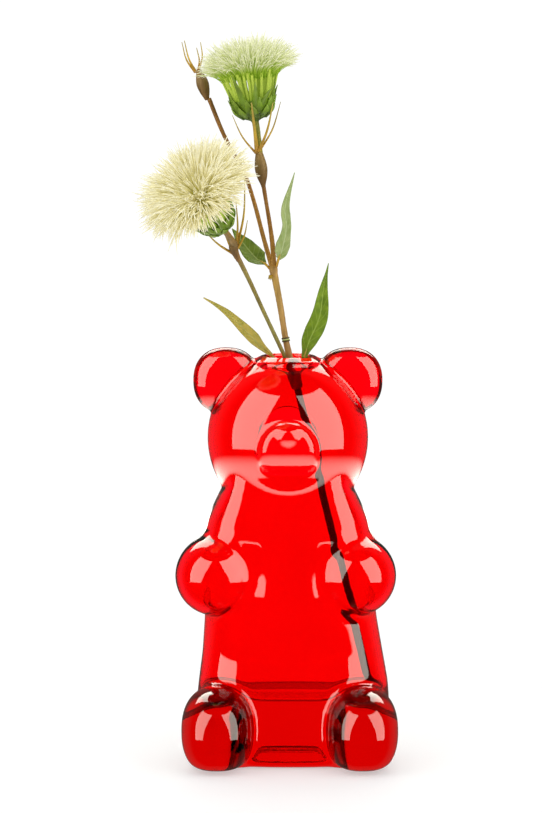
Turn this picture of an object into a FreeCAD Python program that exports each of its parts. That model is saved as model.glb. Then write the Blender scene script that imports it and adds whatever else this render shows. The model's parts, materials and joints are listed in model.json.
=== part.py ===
import FreeCAD, Part
import math
import os

import Sketcher
from FreeCAD import Placement, Rotation, Vector

# A hollow glass vase in the shape of a sitting bear, with an artificial flower spray that stands
# in it. Millimetres; +Z up, the bear faces -Y, and +X is on the right when its face is seen from
# the front. The origin is on the surface that it stands on, under the middle of the trunk.
#
# SIZES and PLACES fill the spreadsheet. Every object of the document is bound to its cells.

SIZES = {
    # Glass vase: outer skin
    "vase_wall": 3.4,
    "base_thickness": 33.0,
    "trunk_base_half_width": 47.0,
    "trunk_foot_half_width": 52.5,
    "trunk_waist_half_width": 46.0,
    "trunk_shoulder_half_width": 45.0,
    "trunk_neck_half_width": 34.4,
    "trunk_half_depth": 37.0,
    "trunk_waist_half_depth": 34.5,
    "trunk_neck_half_depth": 30.0,
    "hip_height": 22.0,
    "waist_height": 77.0,
    "shoulder_height": 122.0,
    "neck_height": 147.0,
    "head_half_width": 42.6,
    "head_half_depth": 38.0,
    "head_half_height": 45.0,
    "head_centre_height": 172.5,
    "ear_radius": 17.6,
    "ear_half_thickness": 9.5,
    "ear_spread": 32.8,
    "ear_centre_height": 203.0,
    "arm_radius": 21.4,
    "arm_half_reach": 23.0,
    "arm_spread": 37.0,
    "arm_forward": 21.5,
    "arm_centre_height": 101.5,
    "arm_wall": 4.6,
    "belly_half_width": 27.0,
    "belly_reach": 28.5,
    "belly_half_height": 44.0,
    "belly_forward": 13.0,
    "belly_centre_height": 94.0,
    "foot_half_width": 18.8,
    "foot_half_length": 28.0,
    "foot_half_height": 24.0,
    "foot_spread": 38.2,
    "foot_forward": 34.0,
    "foot_centre_height": 20.5,
    "muzzle_half_width": 15.8,
    "muzzle_half_height": 14.4,
    "muzzle_reach": 13.0,
    "muzzle_forward": 34.0,
    "muzzle_centre_height": 170.5,
    "nose_half_width": 5.2,
    "nose_half_height": 4.4,
    "nose_forward": 44.5,
    "nose_centre_height": 178.5,
    "rim_radius": 14.6,
    "rim_height": 216.5,
    "rim_foot_radius": 20.5,
    "rim_foot_height": 211.0,
    "mouth_radius": 12.9,
    # Spray: stems and their steel wire
    "running_gap": 0.05,
    "end_gap": 0.2,
    "stem_radius": 2.15,
    "wire_radius": 0.9,
    "right_branch_radius": 1.65,
    "left_branch_radius": 1.15,
    "upper_branch_radius": 1.35,
    "bud_branch_radius": 1.2,
    "ferrule_length": 3.0,
    "ferrule_wall": 0.8,
    "ferrule_distance": 9.0,
    # Spray: moulded hubs, their arms and the pegs that plug into them
    "crown_radius": 4.4,
    "fork_radius": 3.0,
    "arm_outer_radius": 2.0,
    "leaf_arm_outer_radius": 1.45,
    "socket_depth": 4.0,
    "peg_radius": 0.75,
    "leaf_peg_radius": 0.55,
    "crown_arm_length": 9.0,
    "fork_arm_length": 8.5,
    "upper_branch_run": 38.5,
    "leaf_arm_length": 7.5,
    # Spray: bulbs on the branches
    "bulb_radius": 3.5,
    "bulb_length": 18.0,
    "bulb_neck_radius": 1.4,
    "bulb_neck_length": 16.0,
    "node_radius": 2.6,
    "node_neck_length": 13.0,
    "bud_radius": 3.25,
    "bud_length": 16.0,
    "whorl_ring_height": 1.6,
    "whorl_ring_wall": 0.8,
    "prong_radius": 0.75,
    "prong_tip_radius": 0.3,
    # Flower heads
    "layer_gap": 0.06,
    "upper_cup_radius": 11.2,
    "upper_cup_height": 12.0,
    "upper_floret_height": 13.0,
    "upper_fringe_radius": 26.5,
    "upper_fringe_height": 20.0,
    "lower_cup_radius": 10.5,
    "lower_cup_height": 11.0,
    "lower_floret_height": 13.0,
    "lower_fringe_radius": 29.5,
    "lower_fringe_height": 22.0,
    "bract_flare": 3.4,
    "bract_height": 6.0,
    "bract_thickness": 0.8,
    # Leaves
    "leaf_thickness": 0.6,
    "leaf_base_half_width": 0.7,
    "stalk_radius": 0.9,
    "left_leaf_length": 46.0,
    "left_leaf_width": 7.7,
    "left_leaf_stalk": 17.0,
    "right_leaf_length": 49.0,
    "right_leaf_width": 9.7,
    "right_leaf_stalk": 8.0,
    "fork_leaf_length": 27.0,
    "fork_leaf_width": 11.0,
    "fork_leaf_stalk": 2.0,
    "upper_leaf_length": 46.0,
    "upper_leaf_width": 7.2,
    "upper_leaf_stalk": 2.0,
}

# Points that the spray's pieces run between, and directions (x, y, z) that they take.
PLACES = {
    "stem_foot": (45.8, 0.0, 34.4),
    "crown": (5.6, 0.0, 200.5),
    "right_branch_bend": (1.8, 0.0, 214.5),
    "fork": (-7.1, 0.0, 259.9),
    "left_socket": (5.3, -2.6, 200.5),
    "left_node": (-28.2, -10.6, 276.1),
    "left_leaf_socket": (4.1, 1.6, 201.5),
    "left_leaf_way": (-0.68, 0.12, 0.72),
    "right_leaf_socket": (5.6, 3.5, 202.5),
    "right_leaf_way": (0.24, 0.12, 0.963),
    "upper_way": (-0.126, 0.0, 0.992),
    "bud_way": (-0.34, 0.35, 0.87),
    "fork_leaf_way": (-0.62, 0.48, 0.62),
    "upper_leaf_way": (0.24, -0.30, 0.923),
    "lower_head_way": (-0.448, -0.591, 0.670),
    "bud_route_low": (-13.6, 6.7, 276.5),
    "bud_route_middle": (-21.8, 11.5, 303.1),
    "bud_route_high": (-35.2, 14.0, 332.2),
    "bud_foot": (-42.6, 15.0, 352.3),
}

document = FreeCAD.newDocument("bear_vase_with_spray")
sheet = document.addObject("Spreadsheet::Sheet", "sizes")
subparts = []


def fill_sheet():
    """Writes every size, and the three coordinates of every place, to a cell with an alias."""
    cells = dict(SIZES)
    for name, coordinates in PLACES.items():
        for letter, coordinate in zip("xyz", coordinates):
            cells[name + "_" + letter] = coordinate
    for row, (alias, number) in enumerate(cells.items(), start=1):
        sheet.set("A%d" % row, alias)
        sheet.set("B%d" % row, "%g" % number)
        sheet.setAlias("B%d" % row, alias)
    document.recompute()


def size(expression):
    """The number that an expression of sheet aliases gives, worked out in a cell of the sheet."""
    sheet.set("D1", "=" + expression)
    sheet.recompute()
    result = sheet.get("D1")
    return float(getattr(result, "Value", result))


def place(name):
    """A point or direction from the sheet."""
    return Vector(*[size(name + "_" + letter) for letter in "xyz"])


def way(name):
    """A direction from the sheet, one unit long."""
    return place(name).normalize()


def on_sheet(expression):
    """Puts the sheet's name before each alias, as an expression of another object needs it."""
    words = expression.replace("(", " ( ").replace(")", " ) ").split()
    return " ".join("sizes." + word if word in SIZES else word for word in words)


def bind(item, **expressions):
    """Binds properties of an object to the sheet."""
    for name, expression in expressions.items():
        item.setExpression(name, on_sheet(expression))


def facing(position, direction):
    """A placement that turns +Z to the direction."""
    return Placement(position, Rotation(Vector(0, 0, 1), direction))


def keep(item, label):
    """Makes the object a sub-part, which is written to a file of its label's name."""
    item.Label = label
    subparts.append(item)
    return item


# ---- Building blocks -------------------------------------------------------------------------


def ellipsoid(label, across, along_y, up, centre):
    """A solid ellipsoid with its three half-axes bound to the sheet."""
    item = document.addObject("Part::Ellipsoid", label)
    bind(item, Radius1=up, Radius2=across, Radius3=along_y)
    item.Angle1 = -90
    item.Angle2 = 90
    item.Placement.Base = centre
    return item


def cylinder(label, radius, length, start, direction):
    """A solid cylinder from the start along the direction."""
    item = document.addObject("Part::Cylinder", label)
    bind(item, Radius=radius, Height=length)
    item.Placement = facing(start, direction)
    return item


def join(label, pieces):
    """One solid from pieces that overlap."""
    item = document.addObject("Part::MultiFuse", label)
    item.Shapes = pieces
    return item


def cut(label, base, tool):
    """The base without the tool's volume."""
    item = document.addObject("Part::Cut", label)
    item.Base = base
    item.Tool = tool
    return item


def origin_plane(body, role):
    """The body's own origin plane of that role."""
    return [feature for feature in body.Origin.OriginFeatures if feature.Role == role][0]


def sketch_on_front_plane(body, label):
    """A sketch on the body's XZ plane: its x is the radius or width, its y the height."""
    sketch = body.newObject("Sketcher::SketchObject", label + "_profile")
    sketch.AttachmentSupport = (origin_plane(body, "XZ_Plane"), [""])
    sketch.MapMode = "FlatFace"
    return sketch


def pin_corner(sketch, line, end, radius, height):
    """Ties one end of a line to the sheet by its distances from the sketch's axes."""
    for kind, expression in (("DistanceX", radius), ("DistanceY", height)):
        number = size(expression)
        if abs(number) < 1e-9:
            axis = -2 if kind == "DistanceX" else -1
            sketch.addConstraint(Sketcher.Constraint("PointOnObject", line, end, axis))
            continue
        index = sketch.addConstraint(Sketcher.Constraint(kind, -1, 1, line, end, number))
        sketch.setExpression("Constraints[%d]" % index, on_sheet(expression))


def turned(label, profile, position, direction):
    """A body of revolution from a closed profile of (radius, height) corners, set along a
    direction. Corners are expressions of sheet aliases."""
    body = document.addObject("PartDesign::Body", label)
    sketch = sketch_on_front_plane(body, label)
    corners = [Vector(size(radius), size(height), 0) for radius, height in profile]
    count = len(corners)
    for index in range(count):
        sketch.addGeometry(Part.LineSegment(corners[index], corners[(index + 1) % count]), False)
    for index in range(count):
        sketch.addConstraint(Sketcher.Constraint("Coincident", index, 2, (index + 1) % count, 1))
        pin_corner(sketch, index, 1, *profile[index])
    revolution = body.newObject("PartDesign::Revolution", label + "_turned")
    revolution.Profile = sketch
    revolution.ReferenceAxis = (sketch, ["V_Axis"])
    revolution.Angle = 360
    body.Placement = facing(position, direction)
    return keep(body, label)


def rounded_path(points):
    """Straight runs joined by tangent arcs, each as large as its two runs allow."""
    share_of_run = 0.45
    edges = []
    start = points[0]
    for before, corner, after in zip(points, points[1:], points[2:]):
        back = (before - corner).normalize()
        ahead = (after - corner).normalize()
        shorter = min((before - corner).Length, (after - corner).Length)
        trim = share_of_run * shorter
        arc_start = corner + back * trim
        arc_end = corner + ahead * trim
        half_turn = (math.pi - back.getAngle(ahead)) / 2
        radius = trim / math.tan(half_turn)
        middle_way = (back + ahead).normalize()
        arc_middle = corner + middle_way * (radius / math.cos(half_turn) - radius)
        edges.append(Part.LineSegment(start, arc_start).toShape())
        edges.append(Part.Arc(arc_start, arc_middle, arc_end).toShape())
        start = arc_end
    edges.append(Part.LineSegment(start, points[-1]).toShape())
    return Part.Wire(edges)


def bent_branch(label, points, radius):
    """A round branch swept along a rounded path."""
    path = document.addObject("Part::Feature", label + "_path")
    path.Shape = rounded_path(points)
    section = document.addObject("Part::Circle", label + "_section")
    bind(section, Radius=radius)
    section.Placement = facing(points[0], points[1] - points[0])
    branch = document.addObject("Part::Sweep", label)
    branch.Sections = [section]
    edge_names = ["Edge%d" % (index + 1) for index in range(len(path.Shape.Edges))]
    branch.Spine = (path, edge_names)
    branch.Solid = True
    branch.Frenet = False
    return branch


# ---- Glass vase ------------------------------------------------------------------------------


def trunk(label, sections):
    """A loft through level ellipses, each (height, half width, half depth)."""
    rings = []
    for index, (height, half_width, half_depth) in enumerate(sections):
        ring = document.addObject("Part::Ellipse", "%s_ring_%d" % (label, index))
        bind(ring, MajorRadius=half_width, MinorRadius=half_depth)
        ring.Placement.Base = Vector(0, 0, size(height))
        rings.append(ring)
    item = document.addObject("Part::Loft", label)
    item.Sections = rings
    item.Solid = True
    return item


def mirrored_pair(maker, label, half_sizes, spread, forward, height):
    """The same ellipsoid on the right and, turned half round so that its seam faces out, on the left."""
    pair = []
    for side, sign in (("right", 1), ("left", -1)):
        centre = Vector(sign * size(spread), -size(forward), size(height))
        item = maker(side + "_" + label, *half_sizes, centre)
        if side == "left":
            item.Placement.Rotation = Rotation(Vector(0, 0, 1), 180)
        pair.append(item)
    return pair


def middle(height):
    """A point on the vase's upright axis."""
    return Vector(0, 0, size(height))


def vase_outside():
    """Trunk, head, ears, arms, feet, muzzle, nose and rim, before the hollow is taken out."""
    body = trunk("trunk_outside", [
        ("0", "trunk_base_half_width", "trunk_half_depth - 6"),
        ("6", "trunk_foot_half_width - 0.8", "trunk_half_depth - 1.5"),
        ("hip_height", "trunk_foot_half_width", "trunk_half_depth"),
        ("waist_height - 26", "trunk_waist_half_width + 2.6", "trunk_waist_half_depth"),
        ("waist_height", "trunk_waist_half_width", "trunk_half_depth - 1"),
        ("shoulder_height", "trunk_shoulder_half_width", "trunk_half_depth - 1"),
        ("neck_height - 11", "( trunk_shoulder_half_width + trunk_neck_half_width ) / 2",
         "trunk_neck_half_depth + 3"),
        ("neck_height", "trunk_neck_half_width", "trunk_neck_half_depth"),
        ("neck_height + 12", "trunk_neck_half_width - 4", "trunk_neck_half_depth - 4"),
    ])
    head = ellipsoid("head_outside", "head_half_width", "head_half_depth", "head_half_height",
                     middle("head_centre_height"))
    ears = mirrored_pair(ellipsoid, "ear", ("ear_radius", "ear_half_thickness", "ear_radius"),
                         "ear_spread", "0", "ear_centre_height")
    arms = mirrored_pair(ellipsoid, "arm_outside", ("arm_radius", "arm_half_reach", "arm_radius"),
                         "arm_spread", "arm_forward", "arm_centre_height")
    belly = ellipsoid("belly", "belly_half_width", "belly_reach", "belly_half_height",
                      Vector(0, -size("belly_forward"), size("belly_centre_height")))
    feet = mirrored_pair(ellipsoid, "foot",
                         ("foot_half_width", "foot_half_length", "foot_half_height"),
                         "foot_spread", "foot_forward", "foot_centre_height")
    muzzle = ellipsoid("muzzle", "muzzle_half_width", "muzzle_reach", "muzzle_half_height",
                       Vector(0, -size("muzzle_forward"), size("muzzle_centre_height")))
    nose = ellipsoid("nose", "nose_half_width", "nose_half_height", "nose_half_height",
                     Vector(0, -size("nose_forward"), size("nose_centre_height")))
    rim = document.addObject("Part::Cone", "rim")
    bind(rim, Radius1="rim_foot_radius", Radius2="rim_radius", Height="rim_height - rim_foot_height")
    rim.Placement.Base = middle("rim_foot_height")
    whole = join("vase_outside_whole", [body, head, belly, *ears, *arms, *feet, muzzle, nose, rim])
    floor_block = document.addObject("Part::Box", "below_the_base")
    floor_block.Length = 400
    floor_block.Width = 400
    floor_block.Height = 60
    floor_block.Placement.Base = Vector(-200, -200, -60)
    return cut("vase_outside", whole, floor_block)


def vase_hollow():
    """The space inside: trunk, head, the dished insides of the arms, and the mouth."""
    space = trunk("trunk_hollow", [
        ("base_thickness", "trunk_foot_half_width - vase_wall - 1", "trunk_half_depth - vase_wall - 3"),
        ("base_thickness + 3", "trunk_foot_half_width - vase_wall - 0.4",
         "trunk_half_depth - vase_wall - 1"),
        ("waist_height - 26", "trunk_waist_half_width - vase_wall + 2.2",
         "trunk_waist_half_depth - vase_wall"),
        ("waist_height", "trunk_waist_half_width - vase_wall", "trunk_half_depth - vase_wall - 1"),
        ("shoulder_height", "trunk_shoulder_half_width - vase_wall - 0.6",
         "trunk_half_depth - vase_wall - 1.5"),
        ("neck_height - 11", "( trunk_shoulder_half_width + trunk_neck_half_width ) / 2 - vase_wall - 0.6",
         "trunk_neck_half_depth - vase_wall + 2"),
        ("neck_height", "trunk_neck_half_width - vase_wall", "trunk_neck_half_depth - vase_wall"),
        ("neck_height + 12", "trunk_neck_half_width - vase_wall - 2",
         "trunk_neck_half_depth - vase_wall - 2"),
    ])
    head = ellipsoid("head_hollow", "head_half_width - vase_wall", "head_half_depth - vase_wall",
                     "head_half_height - vase_wall", middle("head_centre_height"))
    arms = mirrored_pair(ellipsoid, "arm_hollow",
                         ("arm_radius - arm_wall", "arm_half_reach - arm_wall", "arm_radius - arm_wall"),
                         "arm_spread - 1", "arm_forward", "arm_centre_height")
    mouth = cylinder("mouth", "mouth_radius", "rim_height - head_centre_height + 10",
                     middle("head_centre_height"), Vector(0, 0, 1))
    return join("vase_hollow", [space, head, *arms, mouth])


def vase_body():
    return keep(cut("vase_body", vase_outside(), vase_hollow()), "vase_body")


# ---- Spray: hubs, stems and branches ---------------------------------------------------------


def hub(label, centre, radius, arms, blind_holes=()):
    """A moulded ball with hollow arms. Each arm is (start, direction, length, outer radius,
    peg radius); the peg's hole is a running gap wider than the peg."""
    solids = []
    ball = document.addObject("Part::Sphere", label + "_ball")
    bind(ball, Radius=radius)
    ball.Placement.Base = centre
    solids.append(ball)
    holes = list(blind_holes)
    for index, (start, direction, length, outer, peg) in enumerate(arms):
        name = "%s_arm_%d" % (label, index)
        solids.append(cylinder(name, outer, length, start, direction))
        hole_start = start + direction * (size(length) - size("socket_depth"))
        holes.append(cylinder(name + "_hole", peg + " + running_gap", "socket_depth + 1",
                              hole_start, direction))
    return keep(cut(label, join(label + "_solid", solids), join(label + "_holes", holes)), label)


def stem_direction():
    return (place("crown") - place("stem_foot")).normalize()


def right_branch_direction():
    return (place("right_branch_bend") - place("crown")).normalize()


def fork_direction():
    return (place("fork") - place("right_branch_bend")).normalize()


def left_branch_direction():
    return (place("left_node") - place("left_socket")).normalize()


def crown_socket():
    """The hub inside the mouth: stem below, two branches and two leaves above."""
    centre = place("crown")
    arms = [
        (centre, right_branch_direction(), "crown_arm_length", "arm_outer_radius", "peg_radius"),
        (place("left_socket"), left_branch_direction(), "crown_arm_length", "arm_outer_radius",
         "peg_radius"),
        (place("left_leaf_socket"), way("left_leaf_way"), "leaf_arm_length",
         "leaf_arm_outer_radius", "leaf_peg_radius"),
        (place("right_leaf_socket"), way("right_leaf_way"), "leaf_arm_length",
         "leaf_arm_outer_radius", "leaf_peg_radius"),
    ]
    stem_way = stem_direction()
    below = centre - stem_way * (size("crown_radius") + 6)
    flat_end = cylinder("crown_socket_flat_end", "crown_radius + 2", "4",
                        centre - stem_way * (size("crown_radius") + 3), stem_way)
    wire_hole = cylinder("crown_socket_wire_hole", "wire_radius + running_gap", "10", below, stem_way)
    return hub("crown_socket", centre, "crown_radius", arms, [flat_end, wire_hole])


def stem_top():
    """Where the stem's tube meets the flat under the crown."""
    return place("crown") - stem_direction() * (size("crown_radius") - 1)


def main_stem():
    """A tube with the steel wire's bore through it."""
    foot = place("stem_foot")
    length = (stem_top() - foot).Length
    sheet_row = "%g" % length
    outside = cylinder("main_stem_outside", "stem_radius", sheet_row, foot, stem_direction())
    bore = cylinder("main_stem_bore", "wire_radius + running_gap", sheet_row + " + 4",
                    foot - stem_direction() * 2, stem_direction())
    return keep(cut("main_stem", outside, bore), "main_stem")


def core_wire():
    """The steel wire, from just inside the stem's foot to the bottom of the crown's hole."""
    start = place("stem_foot") + stem_direction() * 1.5
    end = place("crown") - stem_direction() * (size("crown_radius") + 6 - 10 + 0.3)
    wire = cylinder("core_wire", "wire_radius", "%g" % (end - start).Length, start, stem_direction())
    return keep(wire, "core_wire")


def peg_and_run(label, start, direction, run_length, radius, peg):
    """A straight branch: a peg for the hub's hole below the start, and the run above it."""
    return turned(label, [
        ("0", "end_gap - socket_depth"),
        (peg, "end_gap - socket_depth"),
        (peg, "0"),
        (radius, "0"),
        (radius, run_length),
        ("0", run_length),
    ], start, direction)


def right_branch():
    """From the crown to the fork, with one bend. Its foot is a plain peg in the crown's arm."""
    direction = right_branch_direction()
    start = place("crown") + direction * size("crown_arm_length")
    end = place("fork") - fork_direction() * (size("fork_radius") - 0.6)
    run = bent_branch("right_branch_run", [start, place("right_branch_bend"), end],
                      "right_branch_radius")
    peg = cylinder("right_branch_peg", "peg_radius", "socket_depth - end_gap",
                   start - direction * (size("socket_depth") - size("end_gap")), direction)
    return keep(join("right_branch", [run, peg]), "right_branch")


def ring_ferrule():
    """A collar round the right branch, above its bend."""
    position = place("right_branch_bend") + fork_direction() * size("ferrule_distance")
    inner = "right_branch_radius + running_gap"
    outer = "right_branch_radius + ferrule_wall"
    return turned("ring_ferrule", [
        (inner, "0"),
        (outer, "0.4"),
        (outer, "ferrule_length - 0.4"),
        (inner, "ferrule_length"),
    ], position, fork_direction())


def fork_socket():
    """The upper hub, on the end of the right branch: two branches and two leaves."""
    centre = place("fork")
    arms = [
        (centre, way("upper_way"), "fork_arm_length", "arm_outer_radius - 0.2", "peg_radius"),
        (centre, way("bud_way"), "fork_arm_length", "arm_outer_radius - 0.2", "peg_radius"),
        (centre, way("fork_leaf_way"), "leaf_arm_length", "leaf_arm_outer_radius",
         "leaf_peg_radius"),
        (centre, way("upper_leaf_way"), "leaf_arm_length", "leaf_arm_outer_radius",
         "leaf_peg_radius"),
    ]
    flat_end = cylinder("fork_socket_flat_end", "fork_radius + 1", "3",
                        centre - fork_direction() * (size("fork_radius") + 2.4), fork_direction())
    return hub("fork_socket", centre, "fork_radius", arms, [flat_end])


def upper_branch_start():
    return place("fork") + way("upper_way") * size("fork_arm_length")


def upper_branch():
    return peg_and_run("upper_branch", upper_branch_start(), way("upper_way"), "upper_branch_run",
                       "upper_branch_radius", "peg_radius")


def upper_bulb():
    """A swollen node and the neck above it, which holds the upper flower's peg."""
    start = upper_branch_start() + way("upper_way") * size("upper_branch_run")
    hole = "peg_radius + running_gap"
    top = "bulb_length + bulb_neck_length"
    return turned("upper_bulb", [
        ("0", "0"),
        ("upper_branch_radius", "0"),
        ("bulb_radius * 0.9", "bulb_length * 0.35"),
        ("bulb_radius", "bulb_length * 0.55"),
        ("bulb_radius * 0.85", "bulb_length * 0.8"),
        ("bulb_neck_radius", "bulb_length"),
        ("bulb_neck_radius", top),
        (hole, top),
        (hole, top + " - socket_depth"),
        ("0", top + " - socket_depth"),
    ], start, way("upper_way"))


def upper_bulb_top():
    run = size("upper_branch_run") + size("bulb_length + bulb_neck_length")
    return upper_branch_start() + way("upper_way") * run


def left_branch_start():
    """The left branch turns in the crown's arm, so it stands a small gap off it."""
    return place("left_socket") + left_branch_direction() * size("crown_arm_length + end_gap / 2")


def left_branch_length():
    """To the flat under the lower node."""
    end = place("left_node") - left_branch_direction() * size("node_radius - 0.5")
    return (end - left_branch_start()).Length


def left_branch():
    return peg_and_run("left_branch", left_branch_start(), left_branch_direction(),
                       "%g" % left_branch_length(), "left_branch_radius", "peg_radius")


def lower_bulb():
    """The node at the left branch's end, with an arm along the lower flower's axis."""
    centre = place("left_node")
    arms = [(centre, way("lower_head_way"), "node_neck_length", "arm_outer_radius - 0.4",
             "peg_radius")]
    flat_end = cylinder("lower_bulb_flat_end", "node_radius + 1", "3",
                        centre - left_branch_direction() * (size("node_radius") + 2.5),
                        left_branch_direction())
    return hub("lower_bulb", centre, "node_radius", arms, [flat_end])


def bud_branch_start():
    return place("fork") + way("bud_way") * size("fork_arm_length + end_gap / 2")


def bud_route():
    return [bud_branch_start(), place("bud_route_low"), place("bud_route_middle"),
            place("bud_route_high"), place("bud_foot")]


def bud_branch():
    """A curved branch behind the others; its peg turns in the fork's arm."""
    start = bud_branch_start()
    run = bent_branch("bud_branch_run", bud_route(), "bud_branch_radius")
    direction = way("bud_way")
    shoulder = document.addObject("Part::Sphere", "bud_branch_shoulder")
    bind(shoulder, Radius="bud_branch_radius")
    shoulder.Placement.Base = start + direction * size("bud_branch_radius")
    peg = cylinder("bud_branch_peg", "peg_radius", "socket_depth",
                   start - direction * (size("socket_depth") - size("end_gap") * 1.5), direction)
    return keep(join("bud_branch", [run, shoulder, peg]), "bud_branch")


def bud_direction():
    return (place("bud_foot") - place("bud_route_high")).normalize()


def bud_bulb():
    """The closed bud: a spindle with a short pointed crown."""
    return turned("bud_bulb", [
        ("0", "0"),
        ("bud_branch_radius", "0"),
        ("bud_radius * 0.85", "bud_length * 0.3"),
        ("bud_radius", "bud_length * 0.5"),
        ("bud_radius * 0.8", "bud_length * 0.78"),
        ("bud_branch_radius", "bud_length"),
        ("0", "bud_length"),
    ], place("bud_foot"), bud_direction())


# ---- Spray: whorls of thin prongs ------------------------------------------------------------


def prong(foot, tip, frame, swell):
    """A thin tapered prong from foot to tip in the frame's own axes, bowed outwards."""
    bow = Vector((foot.x + tip.x) / 2 * swell, (foot.y + tip.y) / 2 * swell, (foot.z + tip.z) / 2)
    stations = [frame.multVec(point) for point in (foot, bow, tip)]
    ways = [stations[1] - stations[0], stations[2] - stations[0], stations[2] - stations[1]]
    thick = size("prong_radius")
    thin = size("prong_tip_radius")
    radii = [thick, (thick + thin) / 2, thin]
    rings = [Part.Wire(Part.Circle(station, direction, radius).toShape())
             for station, direction, radius in zip(stations, ways, radii)]
    return Part.makeLoft(rings, True, False)


def whorl(label, position, direction, inner_radius, prongs):
    """A ring round a branch, with prongs that rise from it. Each prong is (angle in degrees
    about the branch, reach out from the branch's axis, rise along it)."""
    frame = facing(position, direction)
    inner = size(inner_radius)
    outer = inner + size("whorl_ring_wall")
    height = size("whorl_ring_height")
    ring = Part.makeCylinder(outer, height).cut(Part.makeCylinder(inner, height))
    ring.Placement = frame
    solids = []
    foot_radius = inner + size("prong_radius") + 0.05
    for angle, reach, rise in prongs:
        turn = math.radians(angle)
        outward = Vector(math.cos(turn), math.sin(turn), 0)
        foot = outward * foot_radius + Vector(0, 0, height * 0.4)
        tip = outward * reach + Vector(0, 0, rise)
        solids.append(prong(foot, tip, frame, 1.12))
    item = document.addObject("Part::Feature", label)
    item.Shape = ring.multiFuse(solids)
    return keep(item, label)


def upper_tendrils():
    bulb_top = size("upper_branch_run") + size("bulb_length")
    position = upper_branch_start() + way("upper_way") * (bulb_top + size("layer_gap"))
    return whorl("upper_tendrils", position, way("upper_way"), "bulb_neck_radius + running_gap",
                 [(180, 14, 19), (255, 15, 24), (310, 16.5, 25), (20, 14.5, 25)])


def lower_tendrils():
    """Round the left branch, just under its node."""
    distance = left_branch_length() - size("whorl_ring_height") - 0.3
    position = left_branch_start() + left_branch_direction() * distance
    return whorl("lower_tendrils", position, left_branch_direction(),
                 "left_branch_radius + running_gap",
                 [(150, 15, 14), (115, 12, 24), (75, 13, 27), (20, 14, 15), (-40, 9, 10)])


def bud_tendrils():
    """Four fine prongs on the bud's tip, moulded on a short cap."""
    position = place("bud_foot") + bud_direction() * size("bud_length")
    frame = facing(position, bud_direction())
    cap = Part.makeCone(size("bud_branch_radius"), size("prong_radius"), 2.0)
    cap.Placement = frame
    solids = []
    for angle, reach, rise in [(150, 4.5, 14), (230, 5.5, 15), (20, 7, 14), (300, 6, 15)]:
        turn = math.radians(angle)
        outward = Vector(math.cos(turn), math.sin(turn), 0)
        solids.append(prong(outward * 0.4 + Vector(0, 0, 0.8),
                            outward * reach + Vector(0, 0, rise), frame, 1.2))
    item = document.addObject("Part::Feature", "bud_tendrils")
    item.Shape = cap.multiFuse(solids)
    return keep(item, "bud_tendrils")


# ---- Flower heads ----------------------------------------------------------------------------


def calyx(name, position, direction):
    """The green cup, with the peg under it that plugs into the neck."""
    radius = name + "_cup_radius"
    height = name + "_cup_height"
    return turned(name + "_calyx", [
        ("0", "end_gap - socket_depth"),
        ("peg_radius", "end_gap - socket_depth"),
        ("peg_radius", "0"),
        ("2.2", "0"),
        (radius + " * 0.8", height + " * 0.45"),
        (radius, height),
        ("0", height),
    ], position, direction)


def bracts(name, position, direction):
    """The whorl of bracts that hugs the cup's upper half and flares past it."""
    radius = name + "_cup_radius"
    height = name + "_cup_height"
    return turned(name + "_bracts", [
        (radius + " * 0.8 + layer_gap", height + " * 0.45"),
        (radius + " + layer_gap", height),
        (radius + " + bract_flare - bract_thickness", height + " + bract_height"),
        (radius + " + bract_flare", height + " + bract_height"),
        (radius + " + bract_thickness", height),
        (radius + " * 0.8 + bract_thickness", height + " * 0.45"),
    ], position, direction)


def florets(name, position, direction):
    """The packed tubes of the florets, standing on the cup."""
    radius = name + "_cup_radius"
    height = name + "_cup_height"
    top = height + " + " + name + "_floret_height"
    return turned(name + "_florets", [
        ("0", height),
        (radius + " - 0.4", height),
        (radius + " + 0.4", top),
        ("0", top),
    ], position, direction)


def fringe_layer(name, layer, position, direction, base_from, base_to, angle_from, angle_to):
    """One ring of the fringe, between two cones that share the dome's outline. Base radii are
    shares of the cup's radius; the angles are measured from the flower's axis."""
    base = "%s_cup_height + %s_floret_height" % (name, name)

    def on_dome(angle):
        turn = math.radians(angle)
        return ("%s_fringe_radius * %g" % (name, math.sin(turn)),
                "%s + %s_fringe_height * %g" % (base, name, 0.22 + 0.78 * math.cos(turn)))

    gap = " + layer_gap" if base_from else ""
    inner_foot = ("%s_cup_radius * %g" % (name, base_from) + gap, base)
    profile = [inner_foot, ("%s_cup_radius * %g" % (name, base_to), base)]
    steps = 3
    for step in range(steps + 1):
        profile.append(on_dome(angle_to + (angle_from - angle_to) * step / steps))
    if base_from:
        last_radius, last_height = profile[-1]
        profile[-1] = (last_radius + " + layer_gap * 2", last_height)
    return turned("%s_fringe_%s" % (name, layer), profile, position, direction)


def flower_head(name, position, direction):
    """A whole head: cup, bracts, floret tubes and three rings of fringe."""
    calyx(name, position, direction)
    bracts(name, position, direction)
    florets(name, position, direction)
    fringe_layer(name, "inner", position, direction, 0, 0.35, 0, 30)
    fringe_layer(name, "middle", position, direction, 0.35, 0.68, 30, 60)
    fringe_layer(name, "outer", position, direction, 0.68, 1.0, 60, 96)


def upper_head_start():
    return upper_bulb_top() + way("upper_way") * size("end_gap / 2")


def lower_head_start():
    reach = size("node_neck_length + end_gap / 2")
    return place("left_node") + way("lower_head_way") * reach


# ---- Leaves ----------------------------------------------------------------------------------


def leaf_stalk(name, start, direction):
    """A round stalk on a peg that turns in the hub's arm."""
    return turned(name + "_stalk", [
        ("0", "end_gap - socket_depth"),
        ("leaf_peg_radius", "end_gap - socket_depth"),
        ("leaf_peg_radius", "0"),
        ("stalk_radius + 0.2", "0"),
        ("stalk_radius", name + "_stalk"),
        ("0", name + "_stalk"),
    ], start, direction)


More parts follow.
